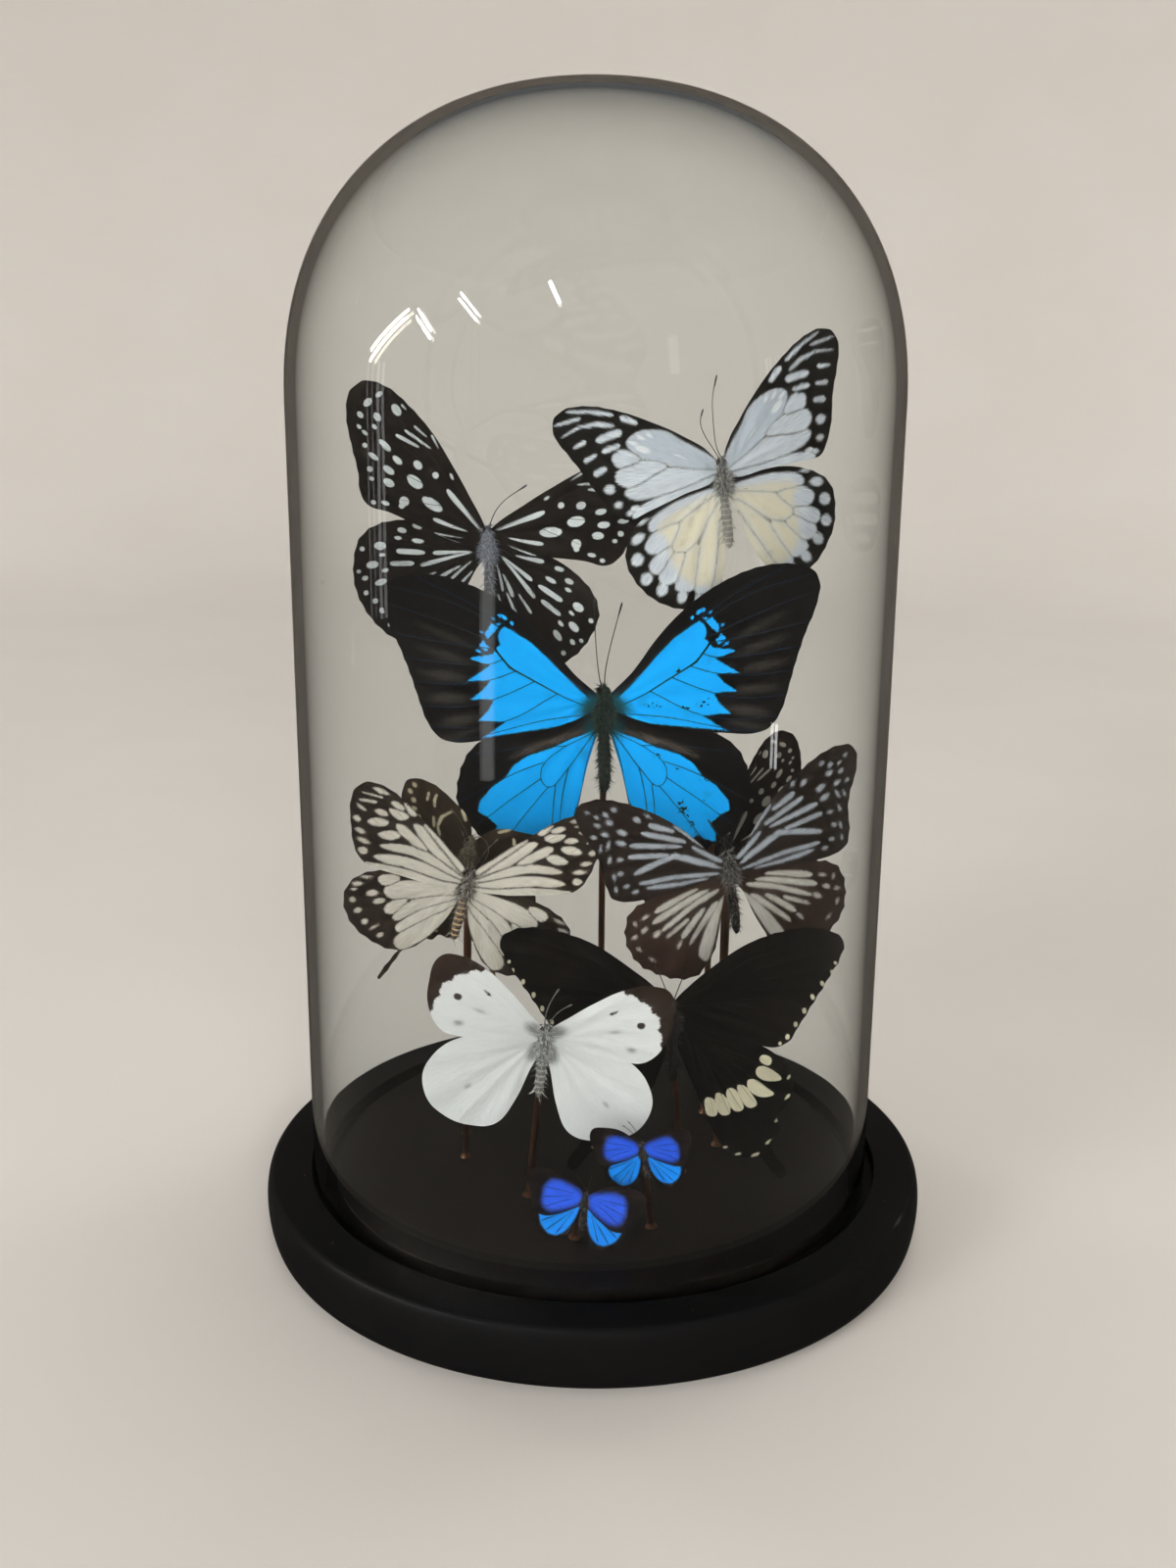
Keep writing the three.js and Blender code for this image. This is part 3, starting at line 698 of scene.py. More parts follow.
def wing_piece(name, drawing, labels, side, scale, matrix, scales, vein_surface, vein_radius):
    """Both faces of the sheet, joined round the edge, with the veins standing on it."""
    flat, triangles = drawing["points"], drawing["triangles"]
    relief = sheet_relief(flat, drawing["attributes"]["vein"])
    count = len(flat)
    sheets = [np.stack([side * flat[:, 0] * scale, relief * scale + face * SHEET_THICKNESS / 2,
                        flat[:, 1] * scale], 1) for face in (-1, 1)]
    front = triangles if side > 0 else triangles[:, ::-1]
    back = front[:, ::-1] + count
    pairs = np.vstack([front[:, [0, 1]], front[:, [1, 2]], front[:, [2, 0]]])
    keys = {(a, b) for a, b in pairs.tolist()}
    rim = [(b, a, a + count, b + count) for a, b in keys if (b, a) not in keys]
    mesh = bpy.data.meshes.new(name)
    mesh.from_pydata(placed(np.vstack(sheets), matrix).tolist(), [],
        [*front.tolist(), *back.tolist(), *sorted(rim)])
    mesh.shade_smooth()
    mesh.set_sharp_from_angle(angle=math.radians(60))
    upper = np.concatenate([np.ones(count), np.zeros(count)])
    for label in labels:
        absent = label not in drawing["attributes"] or (label.endswith("_right") and side < 0)
        doubled = np.tile(np.full(count, NO_MARK) if absent else drawing["attributes"][label], 2)
        store(mesh, label, doubled)
    store(mesh, "upper", upper)
    mesh.attributes.new("grain", "FLOAT_VECTOR", "POINT").data.foreach_set(
        "vector", np.tile(drawing["grain"], (2, 1)).astype(np.float32).ravel())
    sheet = new_object(name, mesh, scales)
    lines, radii = [], []
    for line in drawing["veins"]:
        bare = sheet_relief(line, np.zeros(len(line)))
        local = np.stack([side * line[:, 0] * scale, bare * scale, line[:, 1] * scale], 1)
        lines.append(placed(local, matrix))
        taper = np.interp(np.arange(len(line)), [0, len(line) - 1], [1.0, VEIN_END_SHARE])
        radii.append(taper * vein_radius * scale * MM)
    veins = strands(name + "_veins", lines, radii, 6, vein_surface)
    return joined(name, [sheet, veins])


def wing_scales(name, ground, streaked, layers, underside, under_share=0.6, roughness=0.72, fold=0.5):
    """A wing's covering of scales.

    ground and streaked are its two ground tones. layers lists the pattern from the bottom up:
    (attribute, tone, second tone, softness of its edge in mm, raggedness of its edge in mm). fold is the
    depth of the creases along the veins, as a share of the relief of the single scales.
    """
    material, tree, place = new_material(name)
    ray = add(tree, "Attribute", attribute_name="grain")
    # rows of scales lie along the veins: 0.35 mm apart across them, several mm long
    rows = add(tree, "Mapping", {"Vector": ray.outputs["Vector"], "Scale": (2.9, 0.25, 1)})
    streak = add(tree, "TexNoise", {"Vector": rows, "Scale": 1.0, "Detail": 4.0})
    # single scales are 0.1 mm and drawn at 0.3 mm, or they would not show
    speckle = add(tree, "TexNoise", {"Vector": place, "Scale": 3300.0, "Detail": 2.0})
    rub = add(tree, "TexNoise", {"Vector": place, "Scale": 130.0, "Detail": 5.0})
    mixed = add(tree, "Math", {0: streak, 1: 0.75, 2: 0.12}, operation="MULTIPLY_ADD")
    share = add(tree, "MapRange", {"Value": mixed, "From Min": 0.38, "From Max": 0.62})
    tone = add(tree, "Mix", {0: share, 6: ground, 7: streaked}, data_type="RGBA")
    jitter = add(tree, "Math", {0: speckle, 1: streak}, operation="ADD")
    jitter = add(tree, "Math", {0: jitter, 1: 1.0}, operation="SUBTRACT")
    # scales rub off in flakes of about 1 mm
    flakes = add(tree, "TexNoise", {"Vector": place, "Scale": 1000.0, "Detail": 3.0})
    flaked = add(tree, "Math", {0: flakes, 1: 0.5}, operation="SUBTRACT")
    for attribute, first, second, soft, ragged in layers:
        depth = add(tree, "Attribute", attribute_name=attribute)
        uneven = flaked if attribute.startswith("scuff") else jitter
        shifted = add(tree, "Math", {0: uneven, 1: ragged * 2, 2: depth}, operation="MULTIPLY_ADD")
        mask = add(tree, "MapRange", {"Value": shifted, "From Min": -soft,
            "From Max": soft}, interpolation_type="SMOOTHSTEP")
        own = add(tree, "Mix", {0: share, 6: first, 7: second}, data_type="RGBA")
        tone = add(tree, "Mix", {0: mask, 6: tone, 7: own}, data_type="RGBA")
    # worn places, where scales are gone
    worn = add(tree, "MapRange", {"Value": rub, "From Min": 0.62, "From Max": 0.80, "To Max": 0.30})
    tone = add(tree, "Mix", {0: worn, 6: tone, 7: streaked}, data_type="RGBA")
    upper = add(tree, "Attribute", attribute_name="upper")
    below = add(tree, "MapRange", {"Value": upper, "From Min": 0.5, "From Max": 0.0, "To Max": under_share})
    tone = add(tree, "Mix", {0: below, 6: tone, 7: underside}, data_type="RGBA")
    relief = add(tree, "Math", {0: streak, 1: fold, 2: speckle}, operation="MULTIPLY_ADD")
    bump = add(tree, "Bump", {"Height": relief, "Distance": 0.00009, "Strength": 0.7})
    gloss = add(tree, "MapRange", {"Value": speckle, "To Min": roughness - 0.1, "To Max": roughness + 0.1})
    add(tree, "OutputMaterial", {"Surface": add(tree, "BsdfPrincipled",
        {"Base Color": tone, "Roughness": gloss, "Normal": bump, "Specular IOR Level": 0.10,
        "Sheen Weight": 0.02})})
    return material


def vein_skin(name, tone):
    """Chitin of the veins: thin, smooth, a little shinier than the scales beside it."""
    material, tree, place = new_material(name)
    patchy = add(tree, "TexNoise", {"Vector": place, "Scale": 700.0, "Detail": 2.0})
    rough = add(tree, "MapRange", {"Value": patchy, "To Min": 0.45, "To Max": 0.7})
    pale = tuple(min(1.0, c * 1.6) for c in colour(tone)[:3])
    mixed = add(tree, "Mix", {0: patchy, 6: tone, 7: (*pale, 1.0)}, data_type="RGBA")
    add(tree, "OutputMaterial", {"Surface": add(tree, "BsdfPrincipled",
        {"Base Color": mixed, "Roughness": rough})})
    return material


def body_skin(name, thorax, abdomen, band):
    """Chitin under short scales: thorax tone above the waist, ringed abdomen below it."""
    material, tree, place = new_material(name)
    along = add(tree, "Attribute", attribute_name="along")
    dots = add(tree, "TexNoise", {"Vector": place, "Scale": 1500.0, "Detail": 3.0})
    turn = add(tree, "Math", {0: along, 1: 2 * math.pi / RING_PITCH}, operation="MULTIPLY")
    ring = add(tree, "Math", {0: turn}, operation="SINE")
    ringed = add(tree, "MapRange", {"Value": ring, "From Min": 0.2, "From Max": 0.9})
    tail = add(tree, "Mix", {0: ringed, 6: abdomen, 7: band}, data_type="RGBA")
    waist = add(tree, "MapRange", {"Value": along, "From Min": -4.5, "From Max": -3.5})
    skin = add(tree, "Mix", {0: waist, 6: tail, 7: thorax}, data_type="RGBA")
    freckles = add(tree, "MapRange", {"Value": dots, "From Min": 0.5, "From Max": 0.7, "To Max": 0.5})
    tone = add(tree, "Mix", {0: freckles, 6: skin, 7: band}, data_type="RGBA")
    bump = add(tree, "Bump", {"Height": dots, "Distance": 0.0001, "Strength": 0.8})
    add(tree, "OutputMaterial", {"Surface": add(tree, "BsdfPrincipled",
        {"Base Color": tone, "Roughness": 0.6, "Normal": bump})})
    return material


def hair_coat(name, tone, tip):
    """Fine scale hair, dull and a little lighter in patches."""
    material, tree, place = new_material(name)
    tufts = add(tree, "TexNoise", {"Vector": place, "Scale": 1100.0, "Detail": 2.0})
    share = add(tree, "MapRange", {"Value": tufts, "From Min": 0.35, "From Max": 0.65})
    mixed = add(tree, "Mix", {0: share, 6: tone, 7: tip}, data_type="RGBA")
    add(tree, "OutputMaterial", {"Surface": add(tree, "BsdfPrincipled",
        {"Base Color": mixed, "Roughness": 0.7, "Sheen Weight": 0.2})})
    return material


# Eyes: dark brown, glassy and finely faceted
eye_skin, tree, place = new_material("faceted_compound_eye")
facets = add(tree, "TexVoronoi", {"Vector": place, "Scale": 9000.0})
tone = add(tree, "Mix", {0: facets.outputs["Distance"], 6: "#1A100C", 7: "#3A2A22"}, data_type="RGBA")
bump = add(tree, "Bump", {"Height": facets.outputs["Distance"], "Distance": 0.00003})
add(tree, "OutputMaterial", {"Surface": add(tree, "BsdfPrincipled",
    {"Base Color": tone, "Roughness": 0.25, "Normal": bump})})

# Hair that stands on thorax and head and lies back along the body
hair_tree, given, hair_inputs = shape_tree("body_hair", {
    "Hairs per square metre": "Float", "Hair length": "Float", "Hair radius": "Float",
    "Lay": "Vector", "Seed": "Int", "Hair": "Material"})
where = add(hair_tree, "GeometryNodeInputNamedAttribute", {0: "fur"}, data_type="FLOAT")
density = add(hair_tree, "Math", {0: where, 1: given["Hairs per square metre"]}, operation="MULTIPLY")
roots = add(hair_tree, "GeometryNodeDistributePointsOnFaces", {"Mesh": given["Geometry"],
    "Density": density, "Seed": given["Seed"]})
stray = add(hair_tree, "FunctionNodeRandomValue", {0: (-0.6, -0.6, -0.6), 1: (0.6, 0.6, 0.6),
    "Seed": 2}, data_type="FLOAT_VECTOR")
lean = add(hair_tree, "VectorMath", {0: roots.outputs["Normal"], 1: given["Lay"]})
aim = add(hair_tree, "VectorMath", {0: lean, 1: stray})
turn = add(hair_tree, "FunctionNodeAlignRotationToVector", {"Vector": aim}, axis="Z")
hair = add(hair_tree, "GeometryNodeMeshCone", {"Vertices": 3, "Radius Top": 0.0,
    "Radius Bottom": given["Hair radius"], "Depth": given["Hair length"]})
sizes = add(hair_tree, "FunctionNodeRandomValue", {2: 0.5, 3: 1.3, "Seed": 3}, data_type="FLOAT")
coat = add(hair_tree, "GeometryNodeInstanceOnPoints", {"Points": roots, "Instance": hair,
    "Rotation": turn, "Scale": sizes})
end_tree(hair_tree, coat, given["Hair"], given["Geometry"])

# An eye's radius is a share of the head's; hair and antennae in mm, the antennae from root to club
EYE_SHARE = 0.62
HAIRS_PER_SQUARE_METRE = 7e6
HAIR_LENGTH = 2.3
HAIR_RADIUS = 0.14
ANTENNA_SHARES = [0, 0.1, 0.82, 0.93, 0.99, 1]
ANTENNA_RADII = [0.20, 0.15, 0.13, 0.30, 0.26, 0.10]


def insect_body(name, size, matrix, scale, skin, coat, antennae, seed):
    """Ringed abdomen, thorax, head with two eyes, antennae with clubs, and hair."""
    thorax, head, tail, abdomen = (size[k] for k in ("thorax", "head", "tail", "abdomen"))
    head_radius = thorax * 0.60
    knots_z = [-tail, -tail * 0.97, -tail * 0.88, -tail * 0.55, -thorax * 2.1, -thorax * 1.45, -thorax * 0.6,
               thorax * 0.3, thorax * 1.15, head - head_radius * 2.1, head - head_radius * 1.2,
               head - head_radius * 0.35, head]
    knots_r = [0, abdomen * 0.45, abdomen * 0.85, abdomen, abdomen * 0.74, thorax * 0.72, thorax * 0.98,
               thorax, thorax * 0.8, head_radius * 0.66, head_radius, head_radius * 0.75, 0]
    shape = evenly(smooth_line(np.stack([knots_r, knots_z], 1)), 0.28 * scale)
    pulse = 0.5 + 0.5 * np.cos(shape[:, 1] * 2 * math.pi / RING_PITCH)
    shape[:, 0] *= 1 - RING_DEPTH * pulse ** 3 * (shape[:, 1] < -thorax * 1.6)
    mesh = turned_mesh(name, [tuple(p) for p in shape], 28)
    local = np.array([tuple(v.co) for v in mesh.vertices]) / MM
    height = local[:, 2].copy()
    local[:, 1] *= 0.9
    mesh.vertices.foreach_set("co", placed(local, matrix).astype(np.float32).ravel())
    furry = np.interp(height, [-tail, -thorax * 2, -thorax * 1.2, head * 0.8, head], [0.10, 0.22, 1, 1, 0.5])
    store(mesh, "along", height)
    store(mesh, "fur", furry)
    body = new_object(name, mesh, skin)
    turned = np.array(matrix)[:3, :3]
    made_by(hair_tree, hair_inputs, body, {
        "Hairs per square metre": HAIRS_PER_SQUARE_METRE / scale, "Hair length": HAIR_LENGTH * MM * scale,
        "Hair radius": HAIR_RADIUS * MM,
        "Lay": Vector(turned @ np.array([0, -0.15, -1.0])), "Seed": seed, "Hair": coat})
    parts = [body]
    eye_radius = head_radius * EYE_SHARE
    half_turn = [(eye_radius * math.sin(a), -eye_radius * math.cos(a)) for a in np.linspace(0, math.pi, 11)]
    half_turn[0], half_turn[-1] = (0, -eye_radius), (0, eye_radius)
    for side in (-1, 1):
        eye = turned_mesh(name + "_eye", half_turn, 16)
        ball = np.array([tuple(v.co) for v in eye.vertices]) / MM
        ball += (side * eye_radius, -head_radius * 0.22, head - head_radius * 1.15)
        eye.vertices.foreach_set("co", placed(ball, matrix).astype(np.float32).ravel())
        parts.append(new_object(name + "_eye", eye, eye_skin))
    lines, radii = [], []
    for line in antennae:
        flat = evenly(smooth_line(np.array(line, float)), 0.5)
        share = np.linspace(0, 1, len(flat))
        lift = -0.6 - 1.2 * share
        lines.append(placed(np.stack([flat[:, 0], lift * scale, flat[:, 1]], 1), matrix))
        radii.append(MM * scale * np.interp(share, ANTENNA_SHARES, ANTENNA_RADII))
    parts.append(strands(name + "_antennae", lines, radii, 8, skin))
    for part in parts[1:]:
        part.data.attributes.new("along", "FLOAT", "POINT")
    return joined(name, parts)


def mount(name, drawings, body, at, roll, yaw, rise, lift, hinge, scales, vein_surface, skin, coat,
        behind=WING_OFFSET, scale=1.0, lean=0.0, foot=None, one_piece=False, antennae=None,
        vein_radius=0.13, slot=None):
    """Sets one specimen in its place under the glass and stands it on its wire.

    at is the middle of its thorax; roll, yaw and lean turn the whole insect; rise turns each wing in its
    own plane and lift raises it, in degrees. hinge is how far forward the forewings are hung.
    """
    turn = math.radians
    size = BODY_SIZES[body]
    stand = (Matrix.Translation(at) @ Matrix.Rotation(turn(yaw), 4, "Z")
             @ Matrix.Rotation(turn(-lean), 4, "X") @ Matrix.Rotation(turn(-roll), 4, "Y"))
    root = 0 if one_piece else size["thorax"] + 0.3
    labels = sorted({label for drawing in drawings.values() for label in drawing["attributes"]} - {"vein"})
    wings = {}
    for pair in ("fore", "hind"):
        for k, side in enumerate((-1, 1)):
            offset = -WING_OFFSET if pair == "fore" else behind
            hang = (Matrix.Translation((side * root, offset, hinge * 0.8 if pair == "fore" else 0))
                    @ Matrix.Rotation(turn(-side * rise[k]), 4, "Z")
                    @ Matrix.Rotation(turn(-side * lift[pair][k]), 4, "Y"))
            node = f"{name}_{('left', 'right')[k]}_{pair}wing"
            wings[node] = wing_piece("spread_" + node, drawings[pair], labels, side, scale, stand @ hang,
                                     scales, vein_surface, vein_radius)
    head = size["head"]
    bends = [(0.5, -1), (1.3, 2.5), (3.2, 7), (5.5, 11)]
    antennae = antennae or [[(side * x, head + z) for x, z in bends] for side in (-1, 1)]
    insect = insect_body("dried_" + name, size, stand, size["thorax"] / 2.3 if one_piece else 1.0, skin, coat,
                         antennae, seed=len(name))
    if one_piece:
        insect = joined("dried_" + name, [insect, *wings.values()])
        finished(insect, slot or name + "_wing", name)
    else:
        finished(insect, "insect_body", name + "_body")
        for node, wing in wings.items():
            finished(wing, slot or name + "_wing", node)
    stand_on_wire(name, body, at, foot)


# --- Grey-spotted butterfly, upper left -----------------------------------------------------------
# A milkweed butterfly of the glassy-tiger kind: brown-black wings with grey-white spots along the
# margins and streaks that run out from the body. Its thorax has blue-grey down.
spotted_wings = {
    "fore": draw_wing(
        [(0, 0), (4.5, 13), (9, 22), (15, 31), (21, 37.5), (27, 42.5), (34, 44.5), (39, 41), (40, 34),
            (38.5, 26), (36.5, 18), (36, 12.5), (33.5, 8.5), (27, 6.5), (18, 2.5), (8, -1.5), (2, -3)],
        {"pale": dict(
            spots=[(29.9, 40.6, 0.7, 1.2), (33.3, 38.2, 1.0, 1.5), (35.6, 34.6, 1.1, 0.8),
                (30.5, 34.1, 1.4, 1.0), (36, 31.2, 0.8, 0.5), (31.4, 31.3, 0.9, 0.6),
                (34.3, 29.5, 1.0, 0.5), (24.8, 36.2, 1.9, 1.2), (34.3, 25.9, 0.8, 0.7),
                (28.3, 26, 2.3, 0.9), (31.8, 22.8, 1.7, 0.7), (24.6, 21.8, 1.7, 0.9),
                (32.9, 19.1, 0.9, 0.8), (27.2, 18.9, 1.9, 1.0), (18.5, 20.5, 1.5, 1.1),
                (32.4, 16.3, 0.8, 0.6), (27.2, 15.2, 1.8, 1.1), (19.4, 15.6, 2.7, 1.5),
                (31.9, 9.4, 0.8, 0.6), (22.6, 9.8, 1.5, 1.4), (23.4, 8.4, 0.9, 0.7),
                (14.2, 9.1, 3.4, 1.5), (13.2, 17.6, 1.0, 0.9), (8.4, 17.3, 1.0, 0.4),
                (28.3, 9.2, 1.3, 0.6)],
            streaks=[(0.5, 0.3, 22.5, 30.6, 14.5, 25.2), (0.6, 0.4, 25.1, 29.2, 18, 25.6),
                (0.4, 0.2, 19.7, 31.8, 15.7, 28.5), (0.4, 0.15, 14.5, 29.4, 12.2, 25.2),
                (0.9, 0.25, 9.8, 13.6, 5.0, 7.2, 0.9, 1.1), (0.7, 0.2, 13.9, 4.8, 4.2, 1.1),
                (0.35, 0.2, 23.4, 37.9, 21.9, 36.3), (0.3, 0.1, 14, 0.6, 5, -0.9)])},
        cell=[(13, 21.5), (19.5, 20.5), (15, 11)], ends=[(27, 41.5), (34, 43.5), (38.5, 39), (39.3, 32),
            (38, 24.5), (36.3, 17), (35.5, 11.5), (27, 6.5), (14, 1)],
        scallop=0.24),
    "hind": draw_wing(
        [(0, 0), (6, 5), (14, 8), (24, 9), (32, 7.5), (37, 3.5), (39, -3), (39, -10), (37, -16),
            (33, -22), (27, -27), (20, -29.5), (13, -27), (7.5, -17), (3, -7)],
        {"pale": dict(
            spots=[(18.9, 6.9, 1.5, 0.7), (23.6, 5.9, 1.4, 0.8), (24.9, 3.6, 1.1, 0.6),
                (30.5, 1.4, 1.8, 1.2), (36.1, 0.6, 0.8, 0.7), (30, -1.3, 1.0, 0.5),
                (33.1, -4.2, 1.9, 1.1), (29.3, -6, 1.1, 0.6), (37.5, -6.1, 0.7, 0.6),
                (35.6, -8.2, 1.0, 0.7), (30.7, -9.5, 1.9, 0.9), (35.5, -12.6, 0.8, 0.7),
                (32.7, -15.1, 0.9, 0.8), (30.7, -18.1, 0.9, 0.9), (27.5, -14.2, 1.6, 0.8),
                (24.5, -17.5, 1.6, 0.7), (28.3, -22.3, 1.0, 0.7), (20.5, -19.3, 1.5, 0.7),
                (24.2, -24.2, 0.9, 0.8), (19.4, -25.8, 0.9, 0.7), (14.8, -22.5, 1.4, 0.6),
                (18.9, 2.6, 1.8, 0.7)],
            streaks=[(0.8, 0.2, 14, 5.7, 6.1, 1.7), (0.9, 0.7, 25.6, -0.2, 16.8, -1),
                (0.8, 0.2, 14.5, -1.1, 3.3, -1.0), (0.2, 0.8, 3.3, -1.2, 18.4, -4.8),
                (0.7, 0.8, 27.8, -4, 20.2, -4.1), (0.7, 0.25, 13, -8.8, 6.3, -5.1),
                (0.5, 0.2, 9.4, -9.5, 3.6, -3.7), (0.4, 0.2, 6.5, -10.5, 3.4, -6.7),
                (0.5, 0.3, 20.5, -9.2, 13.5, -6.9), (0.5, 0.3, 18, -13.2, 10.4, -8.9),
                (0.4, 0.3, 14.7, -15.6, 8.5, -11), (0.4, 0.3, 11.3, -19.2, 7.2, -13.4)])},
        cell=[(12, 2.5), (19, -2), (12, -6)], ends=[(24, 8.6), (33, 7), (38.4, 1), (38.9, -7), (37, -15),
            (33, -21.5), (27, -26.5), (20, -29), (12.5, -26)],
        scallop=0.35)
}
# Scales, brown-black with a cool grey-white for the spots: matt, streaked along the veins
spotted_scales = wing_scales("brown_black_scales_with_grey_spots", "#171310", "#241D19",
                             [("pale", "#E0E4E4", "#C2C9CA", 0.14, 0.16)], "#3A2C22", 0.5)
mount("grey_spotted", spotted_wings, "medium", (-33.6, 29, 200.8), roll=1, yaw=0, rise=(8, 8),
      lift={"fore": (2, -29), "hind": (0, -38)}, hinge=5, behind=1.9, scales=spotted_scales,
      vein_surface=vein_skin("black_vein", "#1C1613"),
      skin=body_skin("blue_grey_thorax_skin", "#3A3C44", "#2A2523", "#5A5A5E"),
      coat=hair_coat("blue_grey_down", "#3C404C", "#9AA0AE"),
      antennae=[[(0.6, 6.2), (1.4, 9), (3, 12), (5.5, 14.6), (8.5, 16.6), (12.3, 19)]])


# --- Blue swallowtail, centre ---------------------------------------------------------------------
# A mountain swallowtail: black wings with a metallic sky-blue field that ends in teeth between the
# veins. The blue comes from the scales' structure. Its right wings are scuffed near the body.
blue_wings = {
    "fore": draw_wing(
        [(0, 0), (6, 9), (12, 18), (19, 26), (26, 32), (34, 37), (43, 40.5), (52, 41.5), (58.5, 40),
            (61, 36), (60, 29), (57, 21), (54.5, 13), (52.5, 5), (50.5, -2), (47, -7.5), (42, -9.5),
            (34, -9.5), (20, -8.5), (8, -6), (2, -3)],
        {"rays": dict(
            spots=[(42.9, 22.8, 7.4, 1.1), (43.7, 17.2, 7.4, 1.3), (44.4, 11.1, 6.8, 1.5),
                (42.8, 4.1, 6.2, 1.6), (40.3, -2.7, 6.0, 1.6), (40.5, -7.0, 5.4, 0.9)]),
         "blue": dict(
            blocks=[[(0.6, 0.2), (2.6, 1.0), (4.9, 3.9), (8.4, 8.6), (12.7, 13.8), (17.8, 19),
                (22.9, 22.7), (25.5, 24.4), (27.2, 23.2), (27.7, 21.2), (27, 19.2), (28.6, 18),
                (29.6, 16.5), (32.4, 16.2), (36.2, 15.6), (32.8, 14), (30.3, 13.2), (33.6, 11.2),
                (37.8, 9), (34, 9), (30.7, 8.5), (33.2, 5.9), (37, 3.2), (33, 3.2), (29.9, 2.5),
                (31.8, -0.3), (35, -3.3), (31, -3.6), (27, -4.4), (30, -6.4), (34.6, -8.9), (24.9, -7.9),
                (16.2, -7.2), (7.5, -6.8), (2.3, -4.4)],
                [(26.6, 25.4), (29.3, 25.5), (31.4, 23), (30.9, 21.1), (28.4, 23.2)],
                [(30.4, 18.7), (32.1, 20.8), (33.3, 19.3), (31.3, 17.5)]],
            spots=[(25.4, 27.2, 0.9, 0.5), (23.3, 25.3, 0.6, 0.4), (26.7, 27.6, 0.6, 0.4),
                (33.6, 17.6, 0.7, 0.3), (28.6, 27, 0.5, 0.3), (32.4, 23.4, 0.5, 0.3)]),
         "bar": dict(
            streaks=[(0.16, 0.36, 3.2, -1.4, 11, 3.3, 17.9, 7.7, 24.7, 12.1, 28.9, 18.1, 28.5, 20.5)]),
         "root": dict(
            spots=[(1.5, -1.6, 4.6, 3.2)]),
         "scuff_right": dict(sink=1.3,
            spots=[(11.4, -0.7, 3.0, 1.4), (27.4, -0.1, 2.4, 1.5), (19, 9.5, 1.8, 1.2),
                (21, -1.5, 1.5, 0.8)])},
        veins=[(0.4, 0.6, 9, 9.4, 17, 19, 25.6, 25.4, 36, 32.6, 50, 40.4),
            (3.2, -1.4, 11, 3.3, 17.9, 7.7, 24.7, 12.1, 28.9, 18.1, 28.2, 21.4, 26, 25),
            (26.9, 24.2, 40, 33, 58.6, 38.6), (28.8, 20, 42, 26.6, 59.4, 33.6),
            (28.9, 18.1, 42, 20.4, 57.6, 24.6), (26.6, 14.8, 30.3, 13.2, 42, 14.4, 55.6, 17.4),
            (23, 10.8, 30.7, 8.5, 42, 8.2, 53.4, 10), (17.4, 7.3, 29.9, 2.5, 40, 1.0, 51.8, 2.6),
            (11, 3.1, 19.6, -1.5, 27, -4.4, 38, -5.4, 49.6, -3.8),
            (3.1, -3.9, 16.2, -4.6, 33.5, -8.2, 44, -8.8)],
        scallop=0.2),
    "hind": draw_wing(
        [(0, 0), (8, -1), (20, -4), (32, -7), (38, -12), (41, -20), (41, -28), (37.5, -34), (33, -39),
            (28, -42.5), (22, -44.5), (17.5, -47), (15.5, -50), (15, -54), (11.5, -55.5), (8, -53.5),
            (9, -49.5), (12, -46), (10.5, -43), (6.5, -39.5), (5, -31), (3, -18), (1, -8)],
        {"blue": dict(
            blocks=[[(0.4, -3.4), (3, -6), (6.5, -7.6), (12.6, -10.6), (19.6, -13), (23.9, -15.8),
                (26.5, -19.6), (30.8, -22.8), (34.4, -27.4), (35, -30.2), (31.8, -31.8), (28.8, -35),
                (30.6, -38.2), (30.4, -40.6), (26.6, -39.6), (24.6, -38), (22.4, -41.6), (20.2, -38.8),
                (18.6, -38.2), (15.6, -40.8), (14, -37.6), (11.6, -37), (9, -37.8), (6.2, -33.4),
                (4, -25), (2, -13)]]),
         "dust": dict(
            streaks=[(0.6, 0.9, 3, -5.2, 9, -7.4, 17, -9.8, 25, -13.6)]),
         "root": dict(
            spots=[(1.0, -4.2, 3.4, 2.2)]),
         "scuff_right": dict(sink=1.3,
            spots=[(20.7, -30, 3.2, 2.0), (19.5, -17.3, 2.0, 1.2), (27.4, -20.4, 2.4, 1.4),
                (13, -13.5, 2.0, 1.2), (24, -36, 2.2, 1.4), (27.5, -28, 1.6, 0.8)])},
        veins=[(0.6, -4.6, 4, -11, 6.4, -15.4, 11.1, -22.2, 13.7, -23.1, 16, -20.4, 15.2, -14.8, 8.2,
                -10, 0.8, -5.4), (11.1, -22.2, 11.8, -30, 12, -43), (13.7, -23.1, 19.3, -30, 28, -41.6),
            (16, -20.4, 24.7, -26.4, 36, -35), (15.2, -15, 23.9, -18.2, 40.6, -27),
            (8.2, -10, 20, -10, 37.6, -12.4), (0.6, -5.4, 2.8, -14, 4.6, -29, 6.4, -38),
            (7.4, -17, 9.4, -28, 9.6, -41)],
        scallop=0.45)
}
